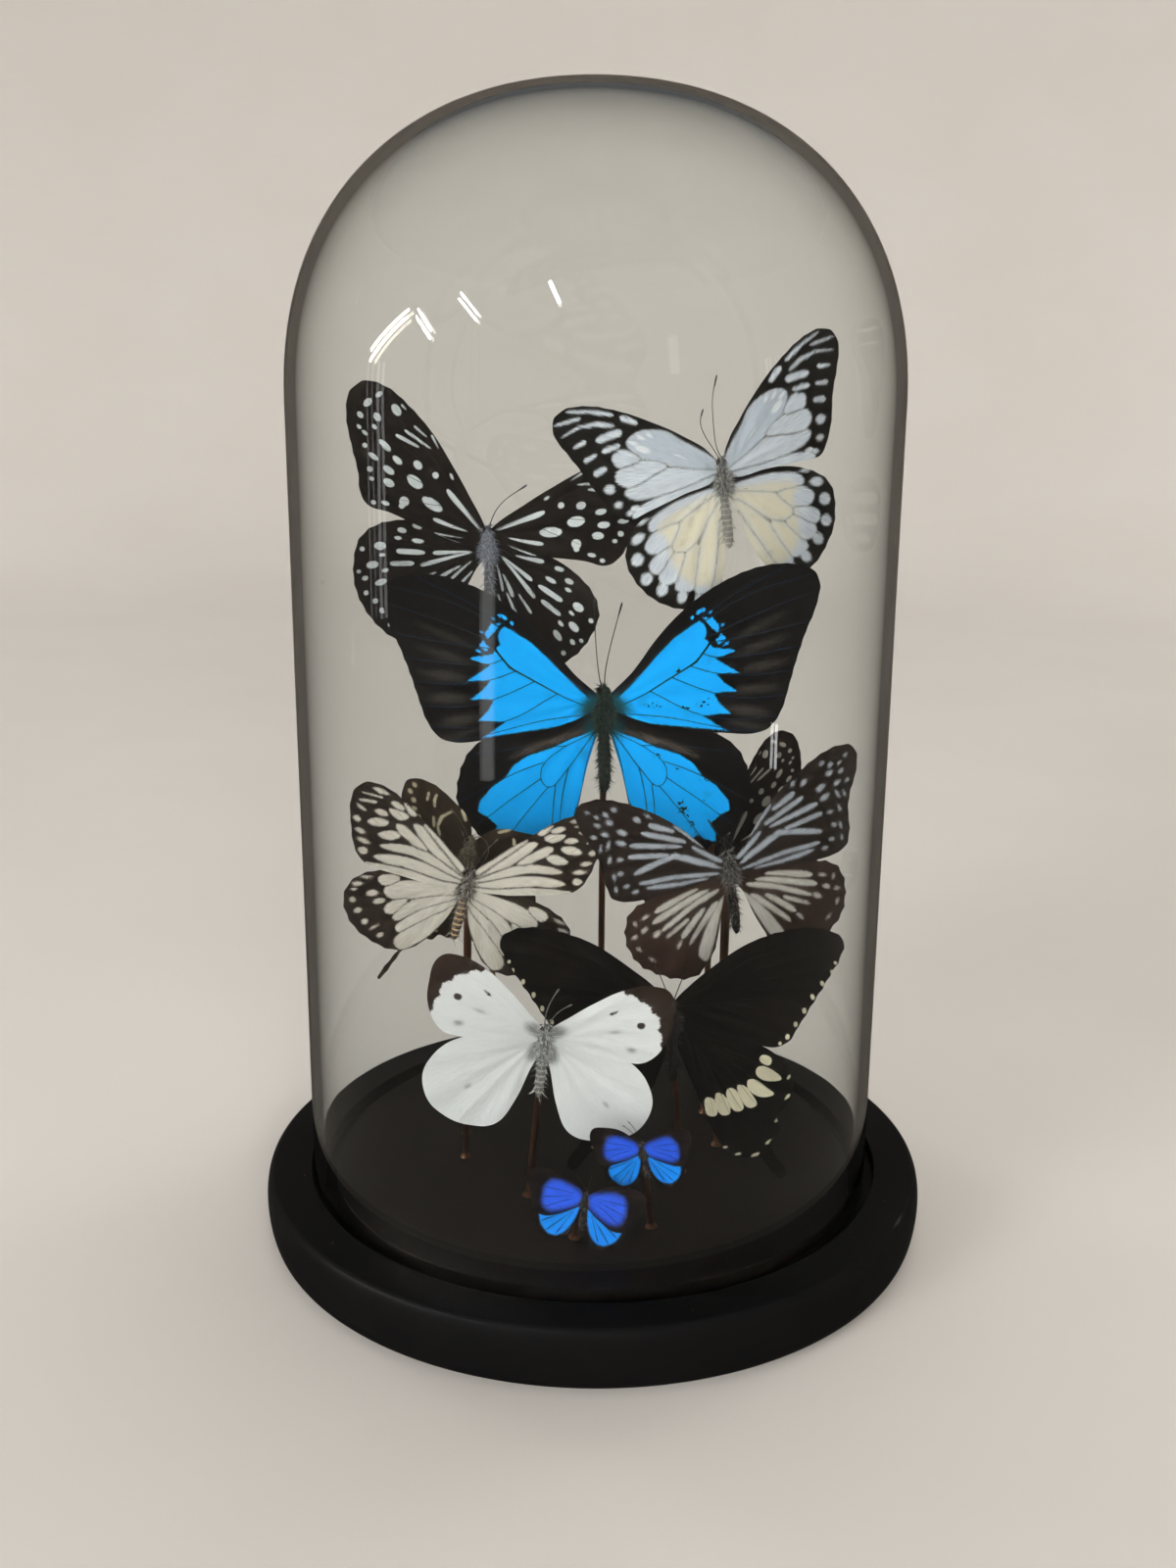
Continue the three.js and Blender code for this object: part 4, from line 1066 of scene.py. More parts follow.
# Structural blue scales on black: saturated sky blue, teal near the body, teeth with powdery ends
blue_scales = wing_scales("structural_blue_scales_on_black", "#0A0909", "#141110",
    [("rays", "#2B2725", "#39342F", 0.9, 0.3), ("blue", "#00B2FF", "#02A0F4", 0.18, 0.65),
    ("vein_line", "#0A2F4E", "#0B2338", 0.10, 0.08), ("bar", "#05090D", "#070C12", 0.12, 0.05),
    ("dust", "#332C29", "#6C5F57", 0.3, 2.0), ("root", "#0B3A40", "#0D5560", 1.8, 0.9),
    ("scuff_right", "#0A0B0D", "#121A22", 0.15, 4.5)], "#2A2019", 0.9, roughness=0.6)
blue_vein = vein_skin("dark_vein_through_blue", "#04121E")
mount("blue_swallowtail", blue_wings, "stout", (2, 17, 152.8), roll=1, yaw=2, rise=(6, 6),
      lift={"fore": (-2, 0), "hind": (2, 1)}, hinge=5, scales=blue_scales, vein_surface=blue_vein,
      skin=body_skin("green_flecked_thorax_skin", "#12201C", "#2E231C", "#1E3A33"),
      coat=hair_coat("black_green_down", "#0A0E0C", "#1D4A3E"),
      antennae=[[(-0.6, 8.2), (-1.5, 12), (-2.4, 22), (-2.7, 35.5)],
                [(0.4, 8.2), (0.2, 12), (1.9, 20.5), (5.6, 34)]], vein_radius=0.13)


# --- White veined butterfly, upper right ----------------------------------------------------------
# A false tiger: bluish-white cells between fine dark veins, broad black borders with white dashes,
# and cream near the body on the hindwings. Its body is covered in grey hair.
veined_wings = {
    "fore": draw_wing(
        [(0, 0), (3, 6.5), (9, 11.5), (18, 16.5), (27, 20.5), (36, 23), (43, 22.8), (46.5, 20),
            (46.5, 15.5), (43.5, 10.5), (39.5, 4.5), (35.5, -2.5), (31.5, -8), (27.5, -10.5), (20, -8.5),
            (10, -5.5), (2, -3)],
        {"pale": dict(
            grow=0.85, vein=0.12,
            cells=[[(24.7, 11.3), (21.6, 13.2), (17.7, 13.2), (13.4, 12.1), (9.3, 9.1), (5.1, 6.0),
                (1.6, 2.3), (1.4, 1.0), (4, 1.4), (8.4, 2.6), (14.2, 4.6), (18.5, 6.2), (21.6, 7.6)],
                [(28.8, 2.9), (24.6, 4.6), (20, 5.2), (15.0, 3.5), (18.1, 1.8), (25.1, -0.6), (28.9, 1.0)],
                [(26.8, -2.8), (20.7, -0.4), (14.4, 1.9), (8.5, 1.5), (1.2, -0.2), (9, -2.7),
                (16.5, -3.8), (24, -4.3)],
                [(29.6, 7.8), (26.8, 8.7), (23.9, 7.3), (22.8, 6.1), (25.9, 5.4), (28.5, 5.6)],
                [(25.2, -9.6), (21.4, -7.2), (15.2, -5.4), (7.6, -3.4), (1.6, -1.2), (5.4, -4.2),
                (10.9, -6.6), (18.6, -8.7), (23.2, -10.0)]],
            streaks=[(0.3, 0.5, 46.2, 18.7, 38.3, 19.8),
                (0.2, 0.75, 44.3, 15.3, 39.2, 17.4, 33.9, 17.6, 28.8, 16.6),
                (0.3, 0.6, 42.3, 22, 35.8, 21.4, 28.8, 19.6), (0.9, 0.6, 26.8, 18.7, 21.8, 16.4),
                (0.3, 0.7, 41.5, 11.9, 37.6, 13.3), (1.0, 1.1, 34.5, 13, 30.3, 14, 26.6, 14.6),
                (0.75, 0.6, 33, 9.9, 27.6, 10.9), (0.75, 0.5, 38.8, 7.7, 34.9, 9.2),
                (0.95, 0.8, 36.2, 3.6, 32.3, 5.1), (0.8, 0.6, 26.2, -7.6, 23.4, -7.4)],
            spots=[(32.1, -1.0, 1.6, 1.3), (29.8, -5.8, 1.2, 0.9), (26.6, -8.6, 1.1, 0.7)]),
         "cell": dict(within="pale",
            patches=[[(25.4, 11.3), (21.8, 13.8), (17.5, 13.8), (13, 12.6), (8.8, 9.6), (4.6, 6.4),
                (1, 2.4), (1, 0.8), (4, 0.9), (8.4, 2.1), (14.2, 4.1), (18.5, 5.7), (22, 7.4)]]),
         "teeth": dict(
            spots=[(23.6, 11.0, 1.5, 0.55), (21.4, 12.4, 1.4, 0.5), (18.6, 12.7, 1.2, 0.45),
                (21.0, 9.0, 2.4, 0.9), (10.4, 5.8, 1.8, 0.2)])},
        veins=[(0.4, 0.6, 9, 10, 20, 15.4, 30, 19.4, 42, 22.4),
            (0.6, 0.6, 8.4, 2.4, 18.5, 6, 24.9, 9.5, 25.4, 12), (25.4, 12, 34, 15.4, 46, 17.6),
            (25.2, 10.6, 34, 11.4, 44.6, 13), (24.4, 9, 32, 7.6, 41.6, 8.4),
            (20, 6, 24, 5, 29, 4.2, 39, 3.6), (13, 3.4, 17.5, 1.2, 25, -1.6, 35, -3),
            (1, -0.8, 9, -3, 16.5, -4.6, 25, -6.6, 31, -8)],
        scallop=0.2),
    "hind": draw_wing(
        [(0, 0), (7, -0.5), (16, -2.5), (24, -6.5), (29, -11.5), (30.5, -17), (29, -23), (25.5, -28.5),
            (20, -33), (13, -35.5), (7, -34), (3, -28), (1, -17), (0.5, -7)],
        {"pale": dict(
            grow=0.95, vein=0.1,
            cells=[[(1.4, -2.7), (8.3, -3.4), (13.4, -4.6), (20.4, -7.6), (21.1, -9.3), (17.6, -9.6),
                (11.7, -7.6), (3.4, -4.2)],
                [(23.1, -14.6), (20.7, -11.6), (15.4, -9.9), (13.4, -10.4), (15.2, -13.6), (17.6, -15.2),
                (22.1, -15.8)],
                [(14.7, -15.2), (12.3, -11), (7.2, -7.4), (1.4, -3.9), (1.2, -4.8), (3.9, -8.4),
                (7.8, -14), (10.3, -16.6), (14.2, -17)],
                [(22.9, -20.2), (20.6, -18.2), (16.8, -16.6), (17.4, -18.5), (20.3, -21.7), (22.3, -21.8)],
                [(20.5, -24.3), (18.4, -21), (15.4, -18.9), (13.2, -19.1), (15.3, -23.6), (17.2, -25.4),
                (19.8, -25.6)],
                [(15.9, -28.2), (14.4, -24.6), (12.2, -20.5), (9.8, -17.9), (8.6, -17.3), (10.5, -26),
                (12, -28.9)],
                [(9.9, -30.6), (7.3, -19.8), (4.4, -12.6), (1.2, -6.4), (1.1, -8.6), (3.7, -19.3),
                (6.7, -29.6)],
                [(5.0, -30.4), (2.7, -19.4), (1.0, -10), (1.0, -19), (2.2, -27.2)]],
            spots=[(25.8, -11.4, 2.1, 1.3), (26.9, -17.4, 1.9, 1.8), (25.2, -23.5, 1.9, 1.7),
                (20.9, -27.7, 2.0, 1.6), (15.2, -31.0, 2.1, 1.5), (10.4, -32.6, 1.5, 1.0),
                (23.4, -6.9, 1.4, 0.45), (21.7, -19.9, 0.4, 0.4)]),
         "cream": dict(within="pale",
            patches=[[(1, -3.6), (8, -5), (15, -7), (19, -9.5), (17, -13), (16, -20), (14.4, -25),
                (10, -28.6), (4, -29.6), (-1, -22), (-1, -8)]])},
        veins=[(0.6, -2.4, 8, -6.2, 13, -9.6, 15.8, -14.8, 14.6, -17.6, 10.5, -17.4, 8.2, -14.5, 4.4,
                -9, 0.8, -4.6), (13, -9.6, 20.6, -10.3, 28.6, -11.4),
            (15.8, -14.8, 22.6, -17.8, 29.4, -20), (15, -17.4, 21.2, -22.9, 26.6, -26.6),
            (12.6, -18.2, 16.4, -26.6, 20.6, -31.6), (10, -17.4, 11, -24, 12.2, -30, 13.6, -34.4),
            (4.4, -9.4, 6.2, -19, 8.4, -30, 9, -33.6), (1.4, -7, 3.4, -19, 5.8, -30)],
        scallop=0.28)
}
# Chalky bluish-white scales between soft dark veins, blue-grey in the cell, cream near the body
veined_scales = wing_scales("bluish_white_and_cream_scales_on_black", "#12100E", "#1D1916",
    [("pale", "#C4CEDB", "#EEF1F2", 0.50, 0.55), ("cell", "#B4C0CD", "#D2D9E0", 0.5, 0.4),
    ("teeth", "#E6EBEF", "#F4F6F7", 0.3, 0.3), ("cream", "#F0E9D3", "#E6DCBF", 1.8, 0.9)], "#3A3026",
    0.25, fold=1.2)
mount("white_veined", veined_wings, "medium", (36.4, 21, 222.1), roll=8, yaw=14, rise=(0, -4),
      lift={"fore": (1, 20), "hind": (-3, 14)}, hinge=4, scales=veined_scales,
      vein_surface=vein_skin("dark_grey_vein", "#2C2A2A"),
      skin=body_skin("grey_haired_skin", "#4A4B4C", "#8D8B84", "#B5B0A4"),
      coat=hair_coat("grey_hair", "#55565A", "#C9C6BC"),
      antennae=[[(-0.5, 6.4), (-1.8, 9), (-4.8, 14.2), (-5.7, 17.9), (-4.3, 21.4)],
                [(0.3, 6.4), (-1.4, 10), (-1.5, 17.3), (-1.2, 24.3), (0.9, 30.4)]], vein_radius=0.08)


# --- Cream-striped butterfly, middle left ---------------------------------------------------------
# Dark brown wings with cream rays that spread from the body and a row of cream spots along the
# margins. Its abdomen is ringed, orange-white above.
cream_wings = {
    "fore": draw_wing(
        [(0, 0), (4, 9.5), (10.5, 18), (16.5, 25), (21, 28.5), (26, 30), (29.5, 28), (31, 24), (31, 17.5),
            (30.5, 11.5), (28.5, 7), (24, 4), (16, 1), (8, -1.5), (2, -2.5)],
        {"pale": dict(
            grow=0.2, vein=0.2,
            cells=[[(17.9, 16.8), (16, 16.5), (13.3, 13.8), (10.4, 10.4), (9.7, 8.8), (11.9, 9.6),
                (14.8, 12.3), (17.2, 14.7)],
                [(13, 16.9), (11.3, 16.4), (8.1, 12.6), (5.5, 8.4), (2.6, 3), (1.1, 0.6), (3.6, 3.2),
                (7.5, 7.6), (10.9, 12.2)],
                [(10, 16.6), (7.4, 13.6), (4, 8.3), (0.8, 2.4), (1.3, 2.2), (4.5, 7.3), (7.9, 12.6)],
                [(22.7, 10.8), (18.8, 11.1), (13.4, 9.9), (8.5, 7.4), (3.6, 3), (0.6, -0.5), (3.6, 0.9),
                (8.5, 4.8), (13.4, 7.6), (18.8, 9.1)],
                [(24.5, 7.7), (20.3, 7.8), (13.9, 6.3), (8.5, 4), (3.6, 0.9), (0.9, -1.5), (5.6, -0.3),
                (11.5, 2.3), (16.5, 4.5), (21.4, 5.8)],
                [(27.3, 5.9), (22.4, 5), (16.5, 3.5), (10.6, 1.4), (5.6, -0.8), (0.6, -2.2), (5.6, -2.8),
                (11.6, -1.2), (18, 0.9), (23.4, 3.4)]],
            patches=[[(20.2, 21.8), (17.6, 21.3), (15.1, 20.1), (14.4, 19), (16.7, 18.2), (18.6, 19.2)],
                [(19.5, 23.8), (17.7, 23.8), (15.4, 21.4), (17.6, 21.7)],
                [(15.8, 23.5), (13.9, 21.9), (12.2, 19.5), (13.7, 19.5), (15.1, 21.6)],
                [(24.2, 21.5), (21.7, 21.5), (20.2, 19.7), (22.5, 19.9)],
                [(26.3, 18.4), (23.7, 19.2), (20.1, 17.7), (20.9, 16.8), (24.3, 17)],
                [(23.4, 14.4), (20.6, 15.3), (18.2, 14.8), (16.9, 13.4), (19.7, 12.5), (21.9, 13.1)],
                [(24.5, 28.3), (22.3, 28), (19.6, 26.1), (22.3, 26.5)]],
            streaks=[(0.2, 0.3, 27.4, 26.9, 21.6, 25.2), (0.4, 0.4, 28.4, 24.8, 23.4, 23.8)],
            spots=[(27.9, 22.5, 1.4, 0.5), (29.2, 19.4, 1.1, 0.8), (28.5, 15.6, 1.6, 0.7),
                (27.6, 12.5, 1.8, 0.6), (27.9, 9.5, 1.3, 1.0)])},
        cell=[(12, 17), (18.5, 14.5), (13.5, 7)], ends=[(21, 28), (26, 29.3), (30, 25), (30.8, 19),
            (30.5, 13), (28.8, 7.8), (23, 4), (13, 0.4)],
        scallop=0.2),
    "hind": draw_wing(
        [(0, 0), (7, 3.5), (15, 5), (23, 5.5), (29, 4), (32.5, 0.5), (33.5, -4), (32, -9.5), (28, -14.5),
            (22, -18.5), (15.5, -19.5), (10, -16.5), (5, -11), (2, -5)],
        {"pale": dict(
            grow=0.35, vein=0.12,
            cells=[[(22.7, 3.1), (20.4, 3.8), (17.2, 2.9), (18, 1.6), (20.5, 0.9), (22.7, 1.8)],
                [(21.3, -0.6), (18.5, 1.1), (13.5, 1.6), (7.1, 0.5), (0.6, -1.6), (0.6, -2.6),
                (7.1, -2.7), (14.1, -3.3), (19.1, -3.1), (20.8, -2)],
                [(21.4, -6.4), (19.1, -4.4), (15.1, -3.8), (16.7, -5.6), (19.2, -7.6), (21, -7.5)],
                [(19, -9.2), (16.7, -6.6), (12.7, -4.4), (0.6, -3.2), (5.1, -4.9), (11.2, -6.8),
                (15.2, -8.8), (18.3, -10)],
                [(18.3, -12.5), (15.3, -9.9), (10.2, -7.4), (3.1, -5), (1.1, -4.6), (5.2, -7.6),
                (10.3, -10.1), (14.3, -12.1), (17.9, -13.5)],
                [(18.7, -16.2), (15.3, -13.1), (10.3, -10.6), (5.2, -8.1), (1.6, -5.6), (2.2, -7.7),
                (5.2, -10.8), (9.3, -15), (13.9, -18), (17, -19), (18.5, -17.8)]],
            spots=[(29.2, 1.6, 1.4, 0.6), (30.8, -3.2, 0.9, 0.8), (29.4, -6.7, 1.1, 0.8),
                (25, -1.4, 1.6, 0.9), (23.1, -4, 1.7, 0.9), (27.5, -10.1, 1.0, 0.8),
                (23.1, -14.6, 1.0, 0.7), (30.4, 0, 0.8, 0.4), (26.6, 3.5, 1.5, 0.4),
                (24.8, -11.9, 1.2, 0.4)])},
        cell=[(11, -0.3), (17, -4), (11, -7.5)], ends=[(22, 5), (29.5, 3.2), (33, -2), (32, -9),
            (28, -14), (22, -18), (15, -19), (8.5, -15)],
        scallop=0.35)
}
# Dull cream on dark brown, both a little worn
cream_scales = wing_scales("cream_rays_on_dark_brown_scales", "#231A15", "#35281F",
                           [("pale", "#E2DCCF", "#C0B9AC", 0.28, 0.50)], "#8A7C68", 0.35, fold=1.0)
mount("cream_striped", cream_wings, "slim", (-37.8, -11, 106.7), roll=-14, yaw=5, rise=(3, 3),
      lift={"fore": (-14, -5), "hind": (-14, -16)}, hinge=3, foot=(-39.5, -7.4), scales=cream_scales,
      vein_surface=vein_skin("brown_vein", "#2B211B"),
      skin=body_skin("ringed_brown_skin", "#35302C", "#4C4038", "#D9B98C"),
      coat=hair_coat("grey_brown_hair", "#2E2925", "#BDB6AB"), vein_radius=0.07)


# --- Dark-striped butterfly, middle right ---------------------------------------------------------
# Dark brown, with grey-blue rays from the body; the hindwings are scalloped and have a cream panel
# along the abdomen. Its wire is bent and stands behind the left side.
dark_wings = {
    "fore": draw_wing(
        [(0, 0), (5.5, 5.5), (11.5, 11), (18.5, 15.5), (26, 19), (33.5, 21.5), (40, 22), (44.5, 20),
            (45, 16.5), (43, 12), (39.5, 7), (37, 1.5), (35.5, -4), (33, -8.5), (28, -9.5), (19, -8),
            (9, -5.5), (2, -3)],
        {"pale": dict(
            spots=[(26.7, 15.5, 1.2, 0.8), (35, 14.9, 1.1, 0.7), (36.3, 11.4, 1.1, 0.6),
                (31, 11.7, 1.4, 0.8), (31.2, 8.6, 1.4, 0.7), (33.8, 18.9, 0.8, 0.6),
                (36.1, 17.3, 0.9, 0.6), (38.8, 16.8, 0.8, 0.5), (38.5, 14.3, 0.9, 0.5),
                (39.6, 10.9, 0.8, 0.5), (35.2, 8.2, 0.5, 1.2), (37.4, 7.3, 0.4, 0.9),
                (31.4, 3.6, 0.9, 0.6), (34.5, 3.6, 0.5, 1.1), (31.2, -0.6, 0.8, 0.6),
                (33.1, -1.5, 0.5, 1.0), (29.1, -4.7, 0.8, 0.6), (32.4, -5.5, 0.5, 0.9),
                (26.3, -6.5, 0.9, 0.6), (41.6, 18.2, 0.7, 0.4), (23.5, 16.4, 0.9, 0.4)],
            streaks=[(0.56, 0.98, 15.1, 11.4, 23.2, 13.8), (0.70, 0.84, 11.4, 8.1, 25.2, 11.3),
                (0.56, 0.84, 12.5, 6.6, 28.7, 7.8), (0.70, 0.84, 16.4, 4.2, 29.1, 4.3),
                (0.56, 0.98, 1.6, -0.6, 14.7, 4, 27.1, -1.0),
                (0.56, 0.84, 1.9, -2.2, 14, -2.6, 25.5, -4.1),
                (0.42, 0.70, 4.7, -3.6, 13, -4.9, 23.1, -5.6), (0.70, 0.56, 1.5, 1.3, 9.6, 6.6),
                (0.56, 0.70, 3, 0.4, 12.6, 3.9), (0.42, 0.42, 6, 6.3, 15.5, 13.2)])},
        cell=[(18, 13), (25, 10.3), (19, 3.5)], ends=[(33.5, 21), (41, 21.3), (44.7, 17.5), (42.5, 11.5),
            (39.5, 6.5), (37.3, 1.5), (35.8, -3.5), (33, -8), (21, -8)],
        scallop=0.28),
    "hind": draw_wing(
        [(0, 0), (8, -1), (16, -3.5), (23, -6.5), (28.5, -10), (30, -15), (29, -21), (25, -27),
            (19, -30.5), (12.5, -32.5), (8, -32), (4, -27), (2, -18), (1, -7)],
        {"warm": dict(
            spots=[(14, -16, 26, 26)]),
         "cream": dict(
            spots=[(23.7, -11.7, 1.1, 0.6), (23.9, -15.8, 1.2, 0.7), (26.8, -17.7, 0.9, 0.6),
                (20.2, -17.3, 1.3, 0.7), (16.1, -18, 1.1, 0.6), (13.1, -21.4, 1.2, 0.6),
                (25.6, -21.6, 0.5, 0.9), (21.6, -25.2, 0.5, 1.0), (26.9, -13.4, 0.5, 0.8)],
            streaks=[(0.56, 1.26, 7.4, -4.4, 13, -6.6, 20.8, -10.4),
                (0.70, 1.12, 4.7, -4.9, 13, -9.2, 21.4, -14),
                (0.84, 0.84, 2.2, -5.1, 10, -10.2, 18.6, -16.4), (0.70, 0.98, 5.7, -10.4, 12.3, -19.4),
                (0.84, 0.70, 2.4, -8.6, 9.8, -21.8), (0.56, 0.70, 10.1, -13.4, 15.6, -17.8)]),
         "panel": dict(
            patches=[[(0.9, -7), (3.4, -12), (6, -19.5), (7, -25.4), (5.2, -27.4), (3.4, -22),
                (1.9, -14)]])},
        cell=[(12, -7.5), (15.5, -13), (9, -13)], ends=[(23, -7.3), (28, -11), (29.5, -16), (28, -22),
            (24.5, -26.5), (19, -30), (13, -31.8), (7, -30)],
        scallop=0.59)
}
# Grey-blue rays on warm dark brown; the panel along the body is bare and cream
dark_scales = wing_scales("grey_blue_rays_on_brown_scales", "#1E1714", "#31241D",
    [("warm", "#2E2019", "#443127", 2.0, 0.5), ("pale", "#C0C6CE", "#8B929A", 0.34, 0.75),
    ("cream", "#DEDBD3", "#ABA59A", 0.34, 0.75), ("panel", "#DDD9D0", "#BDB7AE", 0.35, 0.4)], "#4A3A2E",
    0.5, fold=1.0)
mount("dark_striped", dark_wings, "medium", (40.1, -1.7, 109.2), roll=8, yaw=11, rise=(3, 3),
      lift={"fore": (9, 14), "hind": (7, 13)}, hinge=3, foot=(38.8, 1.8), scales=dark_scales,
      vein_surface=vein_skin("umber_vein", "#1C1512"),
      skin=body_skin("umber_skin", "#2B2624", "#221C19", "#3A312B"),
      coat=hair_coat("umber_hair", "#241F1C", "#8C8782"), vein_radius=0.08)


# --- Brown swordtail, behind the cream-striped one -------------------------------------------------
# Mostly hidden: olive-brown with broken cream bars and a long thin tail that hangs below.
swordtail_wings = {
    "fore": draw_wing(
        [(0, 0), (0, 5.5), (1.5, 10), (4.8, 13.5), (8.6, 16.4), (12.8, 18.4), (17.4, 18.8), (19.8, 17.6),
            (20.6, 14.5), (19.8, 10), (17.5, 5), (13, 1), (7, -1.5), (2, -2.5)],
        {"pale": dict(
            spots=[(17.4, 16.7, 0.9, 0.6), (18.3, 14.6, 0.9, 0.6), (16.8, 12.2, 0.9, 0.6),
                (16.1, 9.7, 0.9, 0.6), (14.4, 7.4, 0.8, 0.6)],
            streaks=[(0.5, 0.4, 10.3, 15.4, 10.7, 13.4, 10.2, 11),
                (0.4, 0.5, 5.2, 11.1, 7.7, 8.7, 8.3, 5.5), (0.4, 0.4, 3.3, 12.4, 1.8, 8.7),
                (0.4, 0.4, 10.1, 8.4, 9.2, 5), (0.4, 0.3, 8.3, 5.5, 7.1, 2.6),
                (0.4, 0.4, 12.8, 15.6, 12.9, 12.6)])},
        cell=[(8.5, 12), (12, 9), (8.5, 3.5)], ends=[(12.8, 17.9), (18, 18.2), (20.3, 14.5), (19.5, 9.5),
            (17, 4.7), (12, 0.8)],
        scallop=0.14),
    "hind": draw_wing(
        [(0, 0), (7, -0.5), (15, -3), (20, -8), (20.5, -14), (18, -20), (15.4, -24.4), (19.3, -29.4),
            (26.9, -39.3), (26.4, -39.9), (18.4, -30.3), (13.8, -26.6), (9.5, -27.5), (7.5, -26),
            (5, -27), (3.5, -24), (2.5, -16), (1, -5)],
        {"pale": dict(
            spots=[(12.4, -23.4, 0.5, 1.1), (9, -24.4, 0.5, 1.1), (16, -20.6, 0.5, 1.0),
                (18.4, -15, 0.6, 1.0), (13, -8, 1.6, 0.7), (5.4, -17.5, 1.5, 0.7)])},
        cell=[(8, -5), (10.5, -12), (6, -11)], ends=[(14, -3.2), (19.8, -9), (19.8, -15), (16, -23.5),
            (11, -26.8), (5.5, -26)],
        scallop=0.28)
}
# Scales, olive-brown with soft-edged cream bars: matt
swordtail_scales = wing_scales("olive_brown_scales_with_cream_bars", "#2A2118", "#3D3223",
                               [("pale", "#C9BFA2", "#AFA58A", 0.2, 0.25)], "#6B5C45", 0.5)
mount("brown_swordtail", swordtail_wings, "slim", (-38.5, 4, 112), roll=-8, yaw=0, rise=(3, 3),
      lift={"fore": (4, -38), "hind": (-9, -4)}, hinge=2, foot=(-40.5, 7.5), scales=swordtail_scales,
      vein_surface=vein_skin("olive_vein", "#2A2118"),
      skin=body_skin("olive_striped_skin", "#4B412F", "#3A3020", "#C2B798"),
      coat=hair_coat("olive_hair", "#4B412F", "#8B7F64"),
      antennae=[[(-0.5, 5.2), (-2, 8), (-4.4, 11.6), (-7, 14)],
                [(0.5, 5.2), (2.6, 6.6), (5.1, 5.2), (6.4, 2), (3.8, -3.6)]])


# --- Dark-spotted butterfly, behind the blue swallowtail -------------------------------------------
# A smaller butterfly of the grey-spotted one's kind, browner, with cream-white spots.
# The same kind of scales, browner and duller, with cream-white spots
dark_spotted_scales = wing_scales("brown_scales_with_cream_spots", "#1B1512", "#2B201A",
                                  [("pale", "#C7C3B6", "#A9A498", 0.14, 0.16)], "#3A2C22", 0.5)
mount("dark_spotted", spotted_wings, "slim", (42, 31, 105), roll=4, yaw=0, rise=(0, 6),
      lift={"fore": (8, 14), "hind": (-6, -10)}, hinge=3, scale=0.72, scales=dark_spotted_scales,
      vein_surface=vein_skin("brown_black_vein", "#1C1613"),
      skin=body_skin("brown_black_skin", "#2B2523", "#2A2523", "#4A4540"),
      coat=hair_coat("brown_black_hair", "#2B2725", "#55504C"))


# --- Black swallowtail, lower right ---------------------------------------------------------------
# Black-brown, with a band of cream blocks across the hindwings, cream crescents at the scalloped
# margin, and a row of small cream dots along the forewing. It has short spoon-shaped tails.
black_wings = {
    "fore": draw_wing(
        [(0, 0), (5, 7.5), (11, 13), (19, 18.5), (28, 22.5), (37, 24.5), (43.5, 23.5), (47, 20.5),
            (46, 15.5), (43, 10), (40, 4.5), (37, -0.5), (34, -5.5), (31, -10.5), (26, -12.5), (16, -9.5),
            (7, -6), (2, -3.5)],
        {"pale": dict(
            spots=[(44.6, 13.9, 0.5, 0.6), (43.6, 11.2, 0.5, 0.8), (40.8, 7.6, 0.6, 0.9),
                (38, 3.3, 0.6, 0.9), (35.6, -0.9, 0.6, 0.9), (33, -5.2, 0.6, 0.9), (30.6, -9.2, 0.6, 0.9),
                (28.4, -11.2, 0.5, 0.6)]),
         "rays": dict(
            streaks=[(0.3, 0.9, 22, 12, 40, 18), (0.3, 0.9, 25, 7, 40, 9), (0.3, 0.9, 24, 2, 36, 1.5),
                (0.3, 0.9, 20, -1.5, 32, -4.5), (0.3, 0.8, 14, -4, 27, -9)])},
        cell=[(19, 14), (24.5, 9), (17, 1.5)], ends=[(36, 24), (44, 22.5), (46.3, 17.5), (43.5, 11.5),
            (40.8, 6.5), (38, 1.5), (35, -3.5), (31.5, -9), (18, -9.8)],
        scallop=0.32),
    "hind": draw_wing(
        [(0, 0), (10, -1), (20, -5), (27, -8.5), (31, -13), (33, -18.5), (31.5, -24), (28.5, -28),
            (29.5, -33), (26.5, -37.5), (28, -41), (31.5, -46), (30, -48.5), (27, -46), (23.5, -42),
            (19, -43), (14, -41.5), (10.5, -36.5), (7.5, -29), (4, -19), (1, -9)],
        {"pale": dict(
            spots=[(31.6, -15.6, 0.4, 1.0), (31.4, -22, 0.4, 1.2), (28.8, -29.4, 0.5, 1.5),
                (26.4, -37, 0.5, 1.4), (22.4, -41.4, 0.5, 1.4), (17.2, -41.8, 0.4, 1.1),
                (13.4, -40, 0.4, 0.8)],
            patches=[[(23.6, -9.4), (25.4, -9.4), (26.6, -10.4), (26, -12.4), (24, -12), (23, -10.8)],
                [(22.6, -13.4), (24.4, -12.8), (28.6, -15), (29.6, -16.6), (26.4, -17.6), (23.4, -17),
                (22, -15.4)],
                [(19.8, -17.6), (21.6, -17.2), (25.6, -19.8), (27.6, -21.4), (25, -22.6), (22.2, -22.2),
                (19.8, -20)],
                [(16.8, -19.6), (18.6, -19.4), (21.8, -23.2), (22.6, -25.2), (20.8, -26.6), (19.2, -26),
                (16.8, -21.4)],
                [(13.9, -20.9), (15.8, -20.9), (18.2, -25), (18.6, -27), (16.8, -28), (15, -26.8),
                (13.5, -22.6)],
                [(10.7, -22.4), (12.6, -22.8), (14.6, -26.6), (14.6, -28.8), (12.4, -29.6), (11, -28),
                (10.2, -24)],
                [(7.6, -24.4), (9.6, -24.6), (11, -28.4), (10.4, -30), (8.2, -30), (7.4, -27.4)]])},
        cell=[(12, -7), (15.5, -14), (9, -14)], ends=[(24, -7.8), (31.5, -15), (31, -24), (28, -33),
            (28.5, -44), (20, -42), (12, -38.5), (7, -27)],
        scallop=0.21)
}
